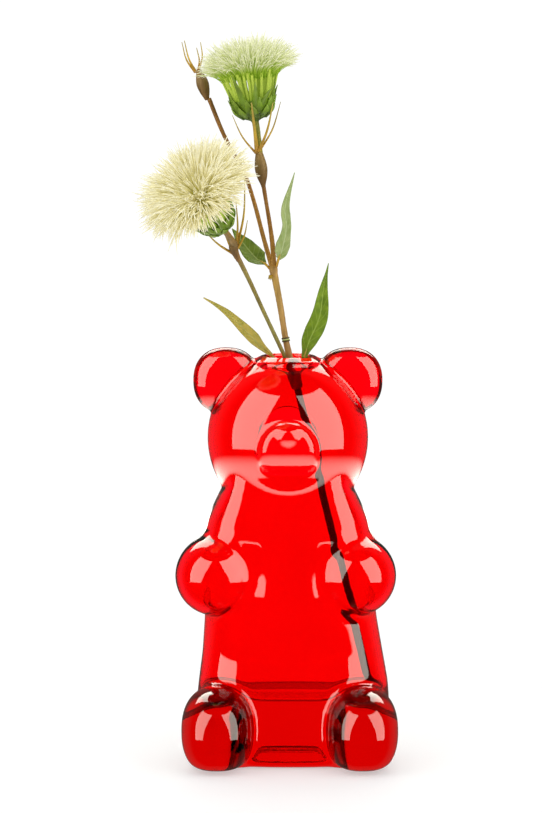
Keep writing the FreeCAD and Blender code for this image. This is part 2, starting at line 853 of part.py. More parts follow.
def leaf_blade(name, start, direction, roll):
    """A flat pointed blade: a short base edge and two arcs that meet at the tip. Roll turns it
    about its own length."""
    body = document.addObject("PartDesign::Body", name + "_blade")
    sketch = sketch_on_front_plane(body, name + "_blade")
    length = size(name + "_length")
    half_width = size(name + "_width") / 2
    base = size("leaf_base_half_width")
    tip = Vector(0, length, 0)
    belly = 0.45 * length
    corners = {"left": Vector(-base, 0, 0), "right": Vector(base, 0, 0)}
    sketch.addGeometry(Part.LineSegment(corners["left"], corners["right"]), False)
    right_side = Part.Arc(corners["right"], Vector(half_width, belly, 0), tip)
    left_side = Part.Arc(tip, Vector(-half_width, belly, 0), corners["left"])
    sketch.addGeometry(right_side, False)
    sketch.addGeometry(left_side, False)
    for line, after in ((0, 1), (1, 2), (2, 0)):
        sketch.addConstraint(Sketcher.Constraint("Coincident", line, 2, after, 1))
    pin_corner(sketch, 0, 1, "0 - leaf_base_half_width", "0")
    pin_corner(sketch, 0, 2, "leaf_base_half_width", "0")
    pin_corner(sketch, 1, 2, "0", name + "_length")
    for side, arc in ((1, right_side), (2, left_side)):
        sketch.addConstraint(Sketcher.Constraint("Radius", side, arc.toShape().Curve.Radius))
    pad = body.newObject("PartDesign::Pad", name + "_blade_pad")
    pad.Profile = sketch
    pad.Midplane = True
    pad.setExpression("Length", "sizes.leaf_thickness")
    foot = start + direction * size(name + "_stalk")
    body.Placement = facing(foot, direction).multiply(
        Placement(Vector(0, 0, 0), Rotation(Vector(0, 0, 1), roll)))
    return keep(body, name + "_blade")


def leaf(name, start, direction, roll):
    lifted = start + direction * size("end_gap / 2")
    leaf_stalk(name, lifted, direction)
    leaf_blade(name, lifted, direction, roll)


def leaves():
    arm = size("leaf_arm_length")
    leaf("left_leaf", place("left_leaf_socket") + way("left_leaf_way") * arm,
         way("left_leaf_way"), 10)
    leaf("right_leaf", place("right_leaf_socket") + way("right_leaf_way") * arm,
         way("right_leaf_way"), -15)
    leaf("fork_leaf", place("fork") + way("fork_leaf_way") * arm, way("fork_leaf_way"), 20)
    leaf("upper_leaf", place("fork") + way("upper_leaf_way") * arm, way("upper_leaf_way"), 35)


# ---- Assembly --------------------------------------------------------------------------------


def check_document():
    """Stops if any object failed, or any sub-part has no valid solid."""
    document.recompute()
    for item in document.Objects:
        if "Invalid" in item.State or "Error" in item.State:
            raise RuntimeError("%s failed: %s" % (item.Name, item.State))
    for item in subparts:
        shape = item.Shape
        if shape.isNull() or not shape.isValid() or not shape.Solids:
            raise RuntimeError("%s has no valid solid" % item.Label)


def write_subparts():
    """One STEP file for each sub-part, named after its label."""
    os.makedirs("parts", exist_ok=True)
    for item in subparts:
        item.Shape.exportStep("parts/%s.step" % item.Label)
        box = item.Shape.BoundBox
        print("%-22s %8.1f mm3  x %.1f..%.1f  y %.1f..%.1f  z %.1f..%.1f" % (
            item.Label, item.Shape.Volume, box.XMin, box.XMax, box.YMin, box.YMax, box.ZMin, box.ZMax))


fill_sheet()
vase_body()
crown_socket()
main_stem()
core_wire()
right_branch()
ring_ferrule()
fork_socket()
upper_branch()
upper_bulb()
upper_tendrils()
left_branch()
lower_bulb()
lower_tendrils()
bud_branch()
bud_bulb()
bud_tendrils()
flower_head("upper", upper_head_start(), way("upper_way"))
flower_head("lower", lower_head_start(), way("lower_head_way"))
leaves()
check_document()
write_subparts()
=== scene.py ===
import json
import math
import random

import bpy
import numpy as np
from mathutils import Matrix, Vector


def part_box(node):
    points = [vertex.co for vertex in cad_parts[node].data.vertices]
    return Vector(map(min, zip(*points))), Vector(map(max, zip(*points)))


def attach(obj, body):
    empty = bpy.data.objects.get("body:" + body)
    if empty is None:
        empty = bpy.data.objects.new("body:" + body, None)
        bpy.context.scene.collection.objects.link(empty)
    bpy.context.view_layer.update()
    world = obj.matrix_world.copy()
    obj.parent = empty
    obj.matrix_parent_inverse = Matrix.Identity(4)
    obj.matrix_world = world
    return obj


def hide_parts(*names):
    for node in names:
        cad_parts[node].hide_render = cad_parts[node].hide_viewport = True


# A red glass bear vase with an artificial flower spray. The frame gives every place, in metres.
# Widths, radii, heights and offsets below are in millimetres; MM turns them into metres.

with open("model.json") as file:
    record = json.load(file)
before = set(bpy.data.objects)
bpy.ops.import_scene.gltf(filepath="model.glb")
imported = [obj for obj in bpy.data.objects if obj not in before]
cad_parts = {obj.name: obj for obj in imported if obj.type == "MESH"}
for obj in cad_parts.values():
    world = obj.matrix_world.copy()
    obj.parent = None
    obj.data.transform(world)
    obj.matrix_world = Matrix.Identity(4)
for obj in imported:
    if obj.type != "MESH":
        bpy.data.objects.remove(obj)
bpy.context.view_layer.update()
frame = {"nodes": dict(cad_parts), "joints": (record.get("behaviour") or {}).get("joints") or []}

MM = 0.001
SHEET_THICKNESS = 0.3
JOINTS = {joint["name"]: joint for joint in frame["joints"]}


def joint_place(name):
    """The point and the unit direction of a hinge."""
    joint = JOINTS[name]
    return Vector(joint["pos_m"]), Vector(joint["axis"]).normalized()


def box_middle(node):
    """The middle of a CAD node's box."""
    low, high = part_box(node)
    return (low + high) / 2


# ---- Mesh building ----


def mesh_object(name, vertices, faces, smooth=True):
    mesh = bpy.data.meshes.new(name)
    mesh.from_pydata([tuple(v) for v in vertices], [], [tuple(f) for f in faces])
    mesh.validate()
    mesh.update()
    if smooth:
        mesh.polygons.foreach_set("use_smooth", [True] * len(mesh.polygons))
    item = bpy.data.objects.new(name, mesh)
    bpy.context.scene.collection.objects.link(item)
    return item


class Shells:
    """Collects closed shells. For the material each point has a tone, from 0 at the foot to 1 at
    the tip, and a side, from -1 to 1 across a leaf."""

    def __init__(self):
        self.vertices = []
        self.faces = []
        self.tones = []
        self.sides = []

    def add(self, vertices, faces, tones, sides=None):
        start = len(self.vertices)
        self.vertices.extend(vertices)
        self.faces.extend(tuple(index + start for index in face) for face in faces)
        self.tones.extend(tones)
        self.sides.extend(sides if sides else [0.0] * len(vertices))

    def build(self, name):
        item = mesh_object(name, self.vertices, self.faces)
        for label, values in (("tone", self.tones), ("side", self.sides)):
            layer = item.data.attributes.new(label, "FLOAT", "POINT")
            layer.data.foreach_set("value", values)
        return item


def spline(points, count):
    """Catmull-Rom samples through the points, evenly spaced by span."""
    controls = [points[0] * 2 - points[1], *points, points[-1] * 2 - points[-2]]
    samples = []
    spans = len(points) - 1
    for index in range(count):
        place = index / (count - 1) * spans
        span = min(int(place), spans - 1)
        t = place - span
        p0, p1, p2, p3 = controls[span:span + 4]
        samples.append(0.5 * ((2 * p1) + (p2 - p0) * t + (2 * p0 - 5 * p1 + 4 * p2 - p3) * t * t
                              + (3 * p1 - p0 - 3 * p2 + p3) * t ** 3))
    return samples


def between(values, share):
    """Linear interpolation in a list of numbers, share from 0 to 1."""
    place = share * (len(values) - 1)
    index = min(int(place), len(values) - 2)
    return values[index] + (values[index + 1] - values[index]) * (place - index)


def ring_faces(rings, sides):
    """The quads between rings of points, and a cap at each end."""
    faces = []
    for ring in range(rings - 1):
        for side in range(sides):
            here = ring * sides + side
            after = ring * sides + (side + 1) % sides
            faces.append((here, after, after + sides, here + sides))
    faces.append(tuple(reversed(range(sides))))
    faces.append(tuple(range((rings - 1) * sides, rings * sides)))
    return faces


def way_ahead(path, index):
    """The direction of a path at one of its points."""
    return (path[min(index + 1, len(path) - 1)] - path[max(index - 1, 0)]).normalized()


def tube_shell(shells, points, radii, sides=10, rings=12, flat=1.0, roughen=0.0, chance=None,
               facing=(0.3, -1, 0.2)):
    """A closed tube through the points. Radii are spread over its length; flat under 1 squeezes
    it; roughen varies the radius by that share."""
    path = spline(points, rings)
    vertices = []
    tones = []
    normal = Vector(facing)
    for index, centre in enumerate(path):
        ahead = way_ahead(path, index)
        normal = (normal - ahead * normal.dot(ahead)).normalized()
        across = ahead.cross(normal)
        share = index / (rings - 1)
        radius = between(radii, share) * MM
        if roughen:
            radius *= 1 + roughen * (chance.random() - 0.5)
        for side in range(sides):
            turn = 2 * math.pi * side / sides
            vertices.append(centre + across * (math.cos(turn) * radius)
                            + normal * (math.sin(turn) * radius * flat))
            tones.append(share)
    shells.add(vertices, ring_faces(rings, sides), tones)


def lathe_shell(shells, origin, axis, profile, wobble, sides=20, steps=4):
    """A turned shell along an axis from (radius, height) pairs, smoothed through the pairs. The
    wobble is its radius's factor at a turn and a share of the height."""
    pairs = spline([Vector((radius, height, 0)) for radius, height in profile],
                   (len(profile) - 1) * steps + 1)
    turn_to = axis.to_track_quat("Z", "Y").to_matrix()
    rings = len(pairs)
    vertices = []
    tones = []
    for index, pair in enumerate(pairs):
        share = index / (rings - 1)
        for side in range(sides):
            turn = 2 * math.pi * side / sides
            grown = max(pair.x, 0.02) * wobble(turn, share)
            offset = Vector((math.cos(turn) * grown, math.sin(turn) * grown, pair.y))
            vertices.append(origin + turn_to @ offset * MM)
            tones.append(share)
    shells.add(vertices, ring_faces(rings, sides), tones)


def blade_shell(shells, spine, widths, normals, fold, rings, wave, lanes):
    """A leaf or bract: a sheet round a curved spine, folded along its midrib, with a true back
    face. The half widths are spread over its length; it twists from one normal to the other."""
    path = spline(spine, rings)
    columns = 2 * lanes + 1
    front = []
    back = []
    tones = []
    sides = []
    for index, centre in enumerate(path):
        share = index / (rings - 1)
        ahead = way_ahead(path, index)
        normal = Vector(normals[0]).lerp(Vector(normals[1]), share)
        normal = (normal - ahead * normal.dot(ahead)).normalized()
        across = ahead.cross(normal)
        half = max(between(widths, share), 0.05) * MM
        for lane in range(columns):
            side = (lane - lanes) / lanes
            ripple = wave * half * math.sin(share * 17 + side * 2) * side * side
            point = centre + across * (side * half) + normal * (fold * half * abs(side) + ripple)
            front.append(point + normal * SHEET_THICKNESS * MM / 2)
            back.append(point - normal * SHEET_THICKNESS * MM / 2)
            tones.append(share)
            sides.append(side)
    count = len(front)
    faces = []
    for ring in range(rings - 1):
        for lane in range(columns - 1):
            a = ring * columns + lane
            quad = (a, a + 1, a + 1 + columns, a + columns)
            faces.append(quad)
            faces.append(tuple(count + index for index in reversed(quad)))
    border = list(range(columns))
    border += [ring * columns + columns - 1 for ring in range(1, rings)]
    border += [(rings - 1) * columns + lane for lane in range(columns - 2, -1, -1)]
    border += [ring * columns for ring in range(rings - 2, 0, -1)]
    for here, there in zip(border, border[1:] + border[:1]):
        faces.append((there, here, count + here, count + there))
    shells.add(front + back, faces, tones * 2, sides * 2)


# ---- Glass vase: a smooth solid from blended round forms ----

VASE_HEIGHT = 220.6
WALL = 3.4
vase_low, vase_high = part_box("vase_body")
SCALE = (vase_high.z - vase_low.z) / VASE_HEIGHT / MM
GRID_LOW = (-62.0, -66.0, -4.0)
GRID_HIGH = (62.0, 42.0, 224.0)
GRID_STEP = 1.35

TRUNK_STATIONS = (
    # height, half width, half depth, lean to the right
    (-8, 51.0, 37.4, 1.6),
    (10, 52.0, 36.8, 2.0),
    (24, 52.2, 35.8, 2.6),
    (41, 50.8, 34.4, 3.0),
    (57, 48.3, 34.3, 2.6),
    (77, 45.9, 36.4, 1.5),
    (95, 45.4, 37.0, 0.7),
    (122, 44.8, 36.2, 0.0),
    (130, 42.4, 35.0, 0.0),
    (138, 38.6, 33.2, 0.0),
    (147, 34.0, 30.5, 0.0),
    (160, 30.0, 27.0, 0.0),
)
SQUARENESS_HEIGHTS = (95, 127, 147)
TRUNK_SQUARENESS = (2.6, 3.5, 5.0)
HOLLOW_FLOOR = 34.5
NECK = 158
# Each round form has a centre (x, y, z) and half sizes. Of a pair only the right one is given,
# measured from the pair's own middle.
HEAD = ((0, 0, 172.5), (42.8, 38.0, 45.0))
BELLY = ((0.5, -13.0, 94.0), (27.0, 28.5, 44.0))
EAR = ((32.8, 0, 203.0), (17.6, 9.5, 17.6))
ARM = ((37.0, 0, 101.3), (21.5, 23.0, 21.3))
ARM_FRONT = -21.5
ARM_STRETCH = 0.62
ARM_MIDDLE = -1.2
FOOT = ((38.4, -35.0, 20.5), (18.9, 27.0, 23.0))
FOOT_MIDDLE = 0.9
NOSE = ((0, -40.4, 177.4), (5.2, 3.4, 4.4))
MUZZLE_MIDDLE = 169.3  # the height of its arch's centre
MUZZLE_RADIUS = 15.7
MUZZLE_FRONT = -42.4
MUZZLE_DROP = 12.3  # from there down to its chin
RIM_TOP = 216.6
MOUTH_RADIUS = 12.4


def smooth_join(first, second, blend):
    """Both forms together, with a fillet about as wide as the blend."""
    share = np.clip(0.5 + 0.5 * (second - first) / blend, 0, 1)
    return second * (1 - share) + first * share - blend * share * (1 - share)


def smooth_meet(first, second, blend):
    """What both forms share, with a rounded edge."""
    return -smooth_join(-first, -second, blend)


def rounded_form(p, form, inset=0.0, power=2.0):
    """Signed distance, nearly, to an ellipsoid; a power over 2 makes it boxier."""
    centre, half_sizes = np.array(form, float)
    half_sizes = half_sizes - inset
    q = np.abs(p - centre)
    level = np.maximum(np.sum((q / half_sizes) ** power, axis=-1) ** (1 / power), 1e-4)
    if power == 2.0:
        slope = np.linalg.norm(q / half_sizes ** 2, axis=-1)
        return level * (level - 1) / np.maximum(slope, 1e-6)
    return np.linalg.norm(q, axis=-1) * (1 - 1 / level)


def station_tables():
    """The trunk's half width, half depth and lean, smoothed along its height."""
    heights = np.arange(-20.0, 240.0, 0.5)
    rows = np.array(TRUNK_STATIONS, float)
    spread = np.exp(-0.5 * (np.arange(-16, 17) / 5.0) ** 2)
    spread /= spread.sum()
    tables = []
    for column in (1, 2, 3):
        line = np.interp(heights, rows[:, 0], rows[:, column])
        padded = np.pad(line, 16, mode="edge")
        tables.append(np.convolve(padded, spread, mode="valid"))
    return heights, tables


TRUNK_HEIGHTS, (TRUNK_WIDTHS, TRUNK_DEPTHS, TRUNK_LEAN) = station_tables()


def trunk_form(p, inset, bottom, corner):
    """The trunk, made thinner by the inset, from the bottom with a rounded edge to the neck."""
    z = p[..., 2]
    power = np.interp(z, SQUARENESS_HEIGHTS, TRUNK_SQUARENESS)
    half_width = np.interp(z, TRUNK_HEIGHTS, TRUNK_WIDTHS) - inset
    half_depth = np.interp(z, TRUNK_HEIGHTS, TRUNK_DEPTHS) - inset
    lean = np.interp(z, TRUNK_HEIGHTS, TRUNK_LEAN)
    across = np.abs(p[..., 0] - lean) / half_width
    along = np.abs(p[..., 1]) / half_depth
    level = np.maximum((across ** power + along ** power) ** (1 / power), 0.02)
    pull_x = (across / level) ** (power - 1) / half_width
    pull_y = (along / level) ** (power - 1) / half_depth
    side = (level - 1) / np.maximum(np.hypot(pull_x, pull_y), 1e-6)
    body = smooth_meet(side, bottom - z, corner)
    return smooth_meet(body, z - NECK, 6)


def mirrored(p, middle=0.0):
    """The paired forms are made once, and mirrored in the upright plane at the middle."""
    q = p.copy()
    q[..., 0] = np.abs(q[..., 0] - middle)
    return q


def arm_form(p, inset=0.0):
    """A stub of an arm: round in front, and longer behind, where it runs into the flank."""
    q = mirrored(p, ARM_MIDDLE)
    back = q[..., 1] - ARM_FRONT
    q[..., 1] = np.where(back > 0, back * ARM_STRETCH, back)
    return rounded_form(q, ARM, inset)


def muzzle_form(p):
    """A low boss on the face: a round arch above, straight sides, and soft corners below."""
    x = np.abs(p[..., 0])
    drop = MUZZLE_MIDDLE - p[..., 2]
    corner = 7.0
    arch = np.hypot(x, drop) - MUZZLE_RADIUS
    over = np.maximum(x - MUZZLE_RADIUS + corner, 0)
    under = np.maximum(drop - MUZZLE_DROP + corner, 0)
    block = np.hypot(over, under) - corner
    outline = np.where(drop < 0, arch, np.maximum(block, x - MUZZLE_RADIUS))
    cheek = x / MUZZLE_RADIUS
    brow = np.maximum(-drop, 0) / MUZZLE_RADIUS
    chin = np.maximum(drop + 1.5, 0) / (MUZZLE_DROP + 1.5)
    front = MUZZLE_FRONT + 2.6 * cheek ** 2 + 1.6 * brow ** 2 + 4.6 * chin ** 2
    return smooth_meet(outline, front - p[..., 1], 5.5)


def rim_form(p):
    """The raised lip of the mouth: a low land that slopes outwards, then a steeper edge."""
    from_axis = np.hypot(p[..., 0], p[..., 1])
    above = p[..., 2] - RIM_TOP
    land = (from_axis - 13.6) * 0.46 + above * 0.89
    edge = (from_axis - 18.8) * 0.94 + (above + 2.7) * 0.34
    lip = smooth_meet(smooth_meet(land, edge, 0.6), above, 0.5)
    return np.maximum(lip, -above - 11.6)


def outside_form(p):
    head = smooth_join(rounded_form(p, HEAD), rim_form(p), 1.0)
    foot = rounded_form(mirrored(p, FOOT_MIDDLE), FOOT, power=2.35)
    foot = smooth_meet(foot, -p[..., 2], 6)
    shape = trunk_form(p, 0, 0, 6)
    for form, blend in ((head, 3.0), (rounded_form(mirrored(p), EAR, power=2.3), 2.0),
                        (rounded_form(p, BELLY), 5.0), (arm_form(p), 4.5), (foot, 6.0),
                        (muzzle_form(p), 1.8), (rounded_form(p, NOSE), 2.6)):
        shape = smooth_join(shape, form, blend)
    return shape


def inside_form(p):
    mouth = np.maximum(np.hypot(p[..., 0], p[..., 1]) - MOUTH_RADIUS, 190 - p[..., 2])
    shape = trunk_form(p, WALL, HOLLOW_FLOOR, 5)
    for form, blend in ((rounded_form(p, HEAD, WALL), 4.0), (rounded_form(p, BELLY, WALL), 5.0),
                        (arm_form(p, WALL), 5.0), (mouth, 4.0)):
        shape = smooth_join(shape, form, blend)
    return shape


def vase_form(p):
    return smooth_meet(outside_form(p), -inside_form(p), 1.8)


def surface_net(form, low, high, step):
    """Quads round the zero surface of a form on a grid, with one point in each cell that the
    surface crosses, at the middle of its crossings."""
    axes = [np.arange(low[i], high[i] + step, step) for i in range(3)]
    grid = np.stack(np.meshgrid(*axes, indexing="ij"), axis=-1)
    field = np.empty(grid.shape[:3], np.float64)
    for index in range(grid.shape[0]):
        field[index] = form(grid[index])
    shape = np.array(field.shape) - 1
    total = np.zeros((*shape, 3))
    hits = np.zeros(shape)
    corners = [(i, j, k) for i in (0, 1) for j in (0, 1) for k in (0, 1)]

    def corner_values(c):
        return field[c[0]:c[0] + shape[0], c[1]:c[1] + shape[1], c[2]:c[2] + shape[2]]

    for first in corners:
        for axis in range(3):
            if first[axis] == 1:
                continue
            second = tuple(1 if i == axis else first[i] for i in range(3))
            a = corner_values(first)
            b = corner_values(second)
            crossed = (a < 0) != (b < 0)
            gap = np.where(crossed, a - b, 1.0)
            share = np.where(crossed, a / gap, 0)
            for i in range(3):
                place = first[i] + (share if i == axis else 0)
                total[..., i] += np.where(crossed, place, 0)
            hits += crossed
    used = hits > 0
    numbers = np.full(shape, -1)
    numbers[used] = np.arange(used.sum())
    cells = np.argwhere(used)
    points = (cells + total[used] / hits[used][:, None]) * step + np.array(low, float)
    quads = []
    for axis in range(3):
        others = [i for i in range(3) if i != axis]
        inner = [slice(1, -1)] * 3
        inner[axis] = slice(0, -1)
        ahead = [slice(1, -1)] * 3
        ahead[axis] = slice(1, None)
        a = field[tuple(inner)] < 0
        b = field[tuple(ahead)] < 0
        edges = np.argwhere(a != b)
        outward = a[tuple(edges.T)]
        base = edges.copy()
        for i in others:
            base[:, i] += 1
        around = []
        for du, dv in ((-1, -1), (0, -1), (0, 0), (-1, 0)):
            cell = base.copy()
            cell[:, others[0]] += du
            cell[:, others[1]] += dv
            around.append(numbers[tuple(cell.T)])
        ring = np.stack(around, axis=1)
        flip = outward if axis != 1 else ~outward
        ring[~flip] = ring[~flip][:, ::-1]
        quads.append(ring)
    return points, np.concatenate(quads)


def slope_of(form, points, reach=0.05):
    """The form's gradient at the points."""
    columns = []
    for i in range(3):
        offset = np.zeros(3)
        offset[i] = reach
        columns.append((form(points + offset) - form(points - offset)) / (2 * reach))
    return np.stack(columns, axis=-1)


def settle(form, points, quads, rounds=3):
    """Evens the points out, then brings them back to the true surface."""
    pairs = np.concatenate([quads[:, [i, (i + 1) % 4]] for i in range(4)])
    for _ in range(rounds):
        total = np.zeros_like(points)
        count = np.zeros(len(points))
        np.add.at(total, pairs[:, 0], points[pairs[:, 1]])
        np.add.at(count, pairs[:, 0], 1)
        points = points * 0.5 + total / count[:, None] * 0.5
        for _ in range(2):
            slope = slope_of(form, points)
            size = np.maximum(np.sum(slope ** 2, axis=-1), 0.2)
            points = points - slope * (form(points) / size)[:, None]
    return points


def make_vase(material):
    points, quads = surface_net(vase_form, GRID_LOW, GRID_HIGH, GRID_STEP)
    points = settle(vase_form, points, quads)
    points[:, 2] = np.maximum(points[:, 2], 0)
    vase = mesh_object("vase_glass", points * SCALE * MM, quads.tolist())
    vase.data.materials.append(material)
    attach(vase, "vase")
    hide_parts("vase_body")


# ---- Materials ----


class Graph:
    """The nodes of one material or of the world, with a short call for each kind used here."""

    def __init__(self, tree):
        self.nodes = tree.nodes
        self.links = tree.links

    def add(self, kind, **settings):
        node = self.nodes.new("ShaderNode" + kind)
        for name, value in settings.items():
            setattr(node, name, value)
        return node

    def feed(self, socket, value):
        """Links a socket to an output, or gives it a number or a colour."""
        if isinstance(value, bpy.types.NodeSocket):
            self.links.new(value, socket)
        elif isinstance(value, tuple):
            socket.default_value = (*value, 1)
        elif value is not None:
            socket.default_value = value

    def fill(self, node, values):
        """Feeds a node's inputs by their names."""
        for name, value in values.items():
            self.feed(node.inputs[name], value)
        return node

    def noise(self, scale, detail=4.0, stretch=(1.0, 1.0, 1.0)):
        mapping = self.add("Mapping")
        mapping.inputs["Scale"].default_value = stretch
        self.feed(mapping.inputs["Vector"], self.add("TexCoord").outputs["Object"])
        noise = self.fill(self.add("TexNoise"), {"Vector": mapping.outputs["Vector"],
                                                 "Scale": scale, "Detail": detail})
        return noise.outputs["Fac"]

    def ramp(self, source, stops):
        ramp = self.add("ValToRGB")
        elements = ramp.color_ramp.elements
        while len(elements) < len(stops):
            elements.new(0.5)
        for element, (place, colour) in zip(elements, stops):
            element.position = place
            element.color = (*colour, 1)
        self.feed(ramp.inputs["Fac"], source)
        return ramp.outputs["Color"]

    def mix(self, kind, share, first, second):
        mix = self.add("Mix", data_type="RGBA", blend_type=kind)
        self.feed(mix.inputs["Factor"], share)
        self.feed(mix.inputs[6], first)
        self.feed(mix.inputs[7], second)
        return mix.outputs[2]

    def maths(self, operation, first, second=None):
        node = self.add("Math", operation=operation)
        self.feed(node.inputs[0], first)
        self.feed(node.inputs[1], second)
        return node.outputs[0]

    def plus(self, first, second):
        return self.maths("ADD", first, second)

    def times(self, first, second):
        return self.maths("MULTIPLY", first, second)

    def inverse(self, value):
        return self.maths("SUBTRACT", 1.0, value)

    def step(self, value, low, high):
        """Rises smoothly from 0 to 1 between two values."""
        node = self.fill(self.add("MapRange", interpolation_type="SMOOTHSTEP"),
                         {"Value": value, "From Min": low, "From Max": high})
        return node.outputs["Result"]

    def band(self, value, rise, fall):
        """1 between a rising and a falling edge, and 0 outside them."""
        return self.times(self.step(value, *rise), self.inverse(self.step(value, *fall)))

    def attribute(self, name):
        return self.add("Attribute", attribute_name=name).outputs["Fac"]

    def bump(self, height, distance, strength):
        bump = self.fill(self.add("Bump"), {"Height": height, "Distance": distance * MM,
                                            "Strength": strength})
        return bump.outputs["Normal"]

    def from_middle(self):
        """The distance from the object's own middle, in metres."""
        length = self.add("VectorMath", operation="LENGTH")
        self.feed(length.inputs[0], self.add("TexCoord").outputs["Object"])
        return length.outputs["Value"]

    def blend_shaders(self, share, first, second):
        """The material's surface goes from the first shader to the second with the share."""
        mix = self.add("MixShader")
        for socket, value in zip(mix.inputs, (share, first.outputs[0], second.outputs[0])):
            self.feed(socket, value)
        self.feed(self.nodes["Material Output"].inputs["Surface"], mix.outputs["Shader"])


def new_material(name):
    material = bpy.data.materials.new(name)
    material.use_nodes = True
    graph = Graph(material.node_tree)
    return material, graph, graph.nodes["Principled BSDF"]


def glass_material():
    """Red glass, coloured at its surfaces and in its depth, with pressed glass's faint waves."""
    material, graph, shader = new_material("red_glass")
    waves = graph.noise(26.0, 1.0)
    colour = graph.ramp(waves, [(0.3, (0.93, 0.002, 0.020)), (0.7, (0.97, 0.003, 0.030))])
    graph.fill(shader, {"Base Color": colour, "Roughness": 0.0, "IOR": 1.5,
                        "Transmission Weight": 1.0, "Normal": graph.bump(waves, 0.4, 0.35)})
    depth = graph.fill(graph.add("VolumeAbsorption"), {"Color": (0.955, 0.0, 0.05),
                                                       "Density": 120.0})
    graph.feed(graph.nodes["Material Output"].inputs["Volume"], depth.outputs["Volume"])
    return material


def fibre_material(name, stops):
    """Thin fabric fibres, from root to tip by the piece's own tone, with a faint glow in that tone
    painted on to lift the shade between them.
    """
    material, graph, shader = new_material(name)
    base = graph.ramp(graph.attribute("tone"), stops)
    speckle = graph.ramp(graph.noise(900.0, 3.0), [(0.3, (0.85,) * 3), (0.7, (1.0,) * 3)])
    # The emission is painted light: the fibres glow faintly in their own colour to fill the shade between
    # them.
    graph.fill(shader, {"Base Color": graph.mix("MULTIPLY", 1.0, base, speckle),
                        "Roughness": 0.7, "Specular IOR Level": 0.15,
                        "Emission Color": base, "Emission Strength": 0.22})
    return material


def stem_material(name, stops, streak):
    """Moulded and hand-tinted plastic: long streaks, blotches and fine bumps."""
    material, graph, shader = new_material(name)
    base = graph.ramp(graph.attribute("tone"), stops)
    streaks = graph.noise(420.0, 4.0, (1.0, 1.0, 0.12))
    dark = graph.ramp(streaks, [(0.3, (1 - streak,) * 3), (0.65, (1.12,) * 3)])
    patch = graph.ramp(graph.noise(90.0, 3.0), [(0.35, (0.78, 0.72, 0.6)), (0.6, (1.0,) * 3)])
    toned = graph.mix("MULTIPLY", 1.0, base, dark)
    graph.fill(shader, {"Base Color": graph.mix("MULTIPLY", 0.8, toned, patch),
                        "Roughness": 0.5, "Specular IOR Level": 0.25,
                        "Normal": graph.bump(streaks, 0.25, 0.6)})
    return material


def leaf_material(name, dark, light, vein):
    """A printed fabric leaf: pale midrib and side veins, mottled between them."""
    material, graph, shader = new_material(name)
    base = graph.ramp(graph.noise(240.0, 5.0), [(0.3, dark), (0.7, light)])
    side = graph.maths("ABSOLUTE", graph.attribute("side"))
    along = graph.times(graph.attribute("tone"), 60.0)
    wave = graph.maths("SINE", graph.maths("SUBTRACT", along, graph.times(side, 9.0)))
    ribs = graph.times(graph.maths("GREATER_THAN", wave, 0.9), 0.35)
    midrib = graph.times(graph.maths("LESS_THAN", side, 0.07), 0.8)
    lines = graph.maths("MAXIMUM", ribs, midrib)
    graph.fill(shader, {"Base Color": graph.mix("MIX", lines, base, vein),
                        "Roughness": 0.55, "Specular IOR Level": 0.25,
                        "Normal": graph.bump(lines, 0.15, 0.7)})
    return material


def steel_material():
    material, graph, shader = new_material("steel_wire")
    streaks = graph.noise(300.0, 3.0, (1.0, 1.0, 0.1))
    colour = graph.ramp(streaks, [(0.3, (0.25, 0.24, 0.23)), (0.7, (0.5, 0.49, 0.47))])
    graph.fill(shader, {"Base Color": colour, "Metallic": 1.0, "Roughness": 0.4})
    return material


PLASTIC_TONES = {
    # name: colours from the foot (0) to the tip (1)
    "main_stem": [(0.0, (0.10, 0.075, 0.03)), (1.0, (0.16, 0.11, 0.04))],
    "right_stem": [(0.0, (0.44, 0.23, 0.07)), (0.5, (0.46, 0.27, 0.08)), (1.0, (0.46, 0.28, 0.06))],
    "left_stem": [(0.0, (0.20, 0.12, 0.03)), (0.3, (0.26, 0.23, 0.05)),
                  (0.8, (0.28, 0.22, 0.05)), (1.0, (0.22, 0.12, 0.04))],
    "brown_stem": [(0.0, (0.42, 0.22, 0.03)), (0.5, (0.34, 0.15, 0.02)), (1.0, (0.28, 0.13, 0.03))],
    "bulb": [(0.0, (0.22, 0.10, 0.02)), (0.3, (0.20, 0.11, 0.03)),
             (0.55, (0.24, 0.15, 0.05)), (1.0, (0.32, 0.20, 0.05))],
    "neck": [(0.0, (0.30, 0.24, 0.03)), (1.0, (0.24, 0.27, 0.03))],
    "prong": [(0.0, (0.48, 0.24, 0.02)), (0.5, (0.60, 0.40, 0.04)), (1.0, (0.44, 0.36, 0.08))],
    "calyx": [(0.0, (0.06, 0.12, 0.005)), (0.5, (0.11, 0.20, 0.004)), (1.0, (0.17, 0.30, 0.006))],
    "bract": [(0.0, (0.07, 0.14, 0.005)), (0.5, (0.17, 0.29, 0.012)), (1.0, (0.28, 0.42, 0.06))],
}
STEM_STREAKS = 0.35
FAINT_STREAKS = {"prong": 0.2, "calyx": 0.3, "bract": 0.25}
FIBRE_TONES = {
    # name: colours from the root (0) to the tip (1)
    "floret": [(0.0, (0.20, 0.34, 0.01)), (0.5, (0.42, 0.54, 0.07)), (1.0, (0.48, 0.60, 0.08))],
    "white_fringe": [(0.0, (0.22, 0.40, 0.01)), (0.3, (0.36, 0.52, 0.04)),
                     (0.6, (0.62, 0.68, 0.28)), (1.0, (0.88, 0.88, 0.66))],
    "cream_fringe": [(0.0, (0.20, 0.20, 0.005)), (0.25, (0.50, 0.44, 0.06)),
                     (0.6, (0.76, 0.70, 0.36)), (1.0, (0.94, 0.90, 0.68))],
}
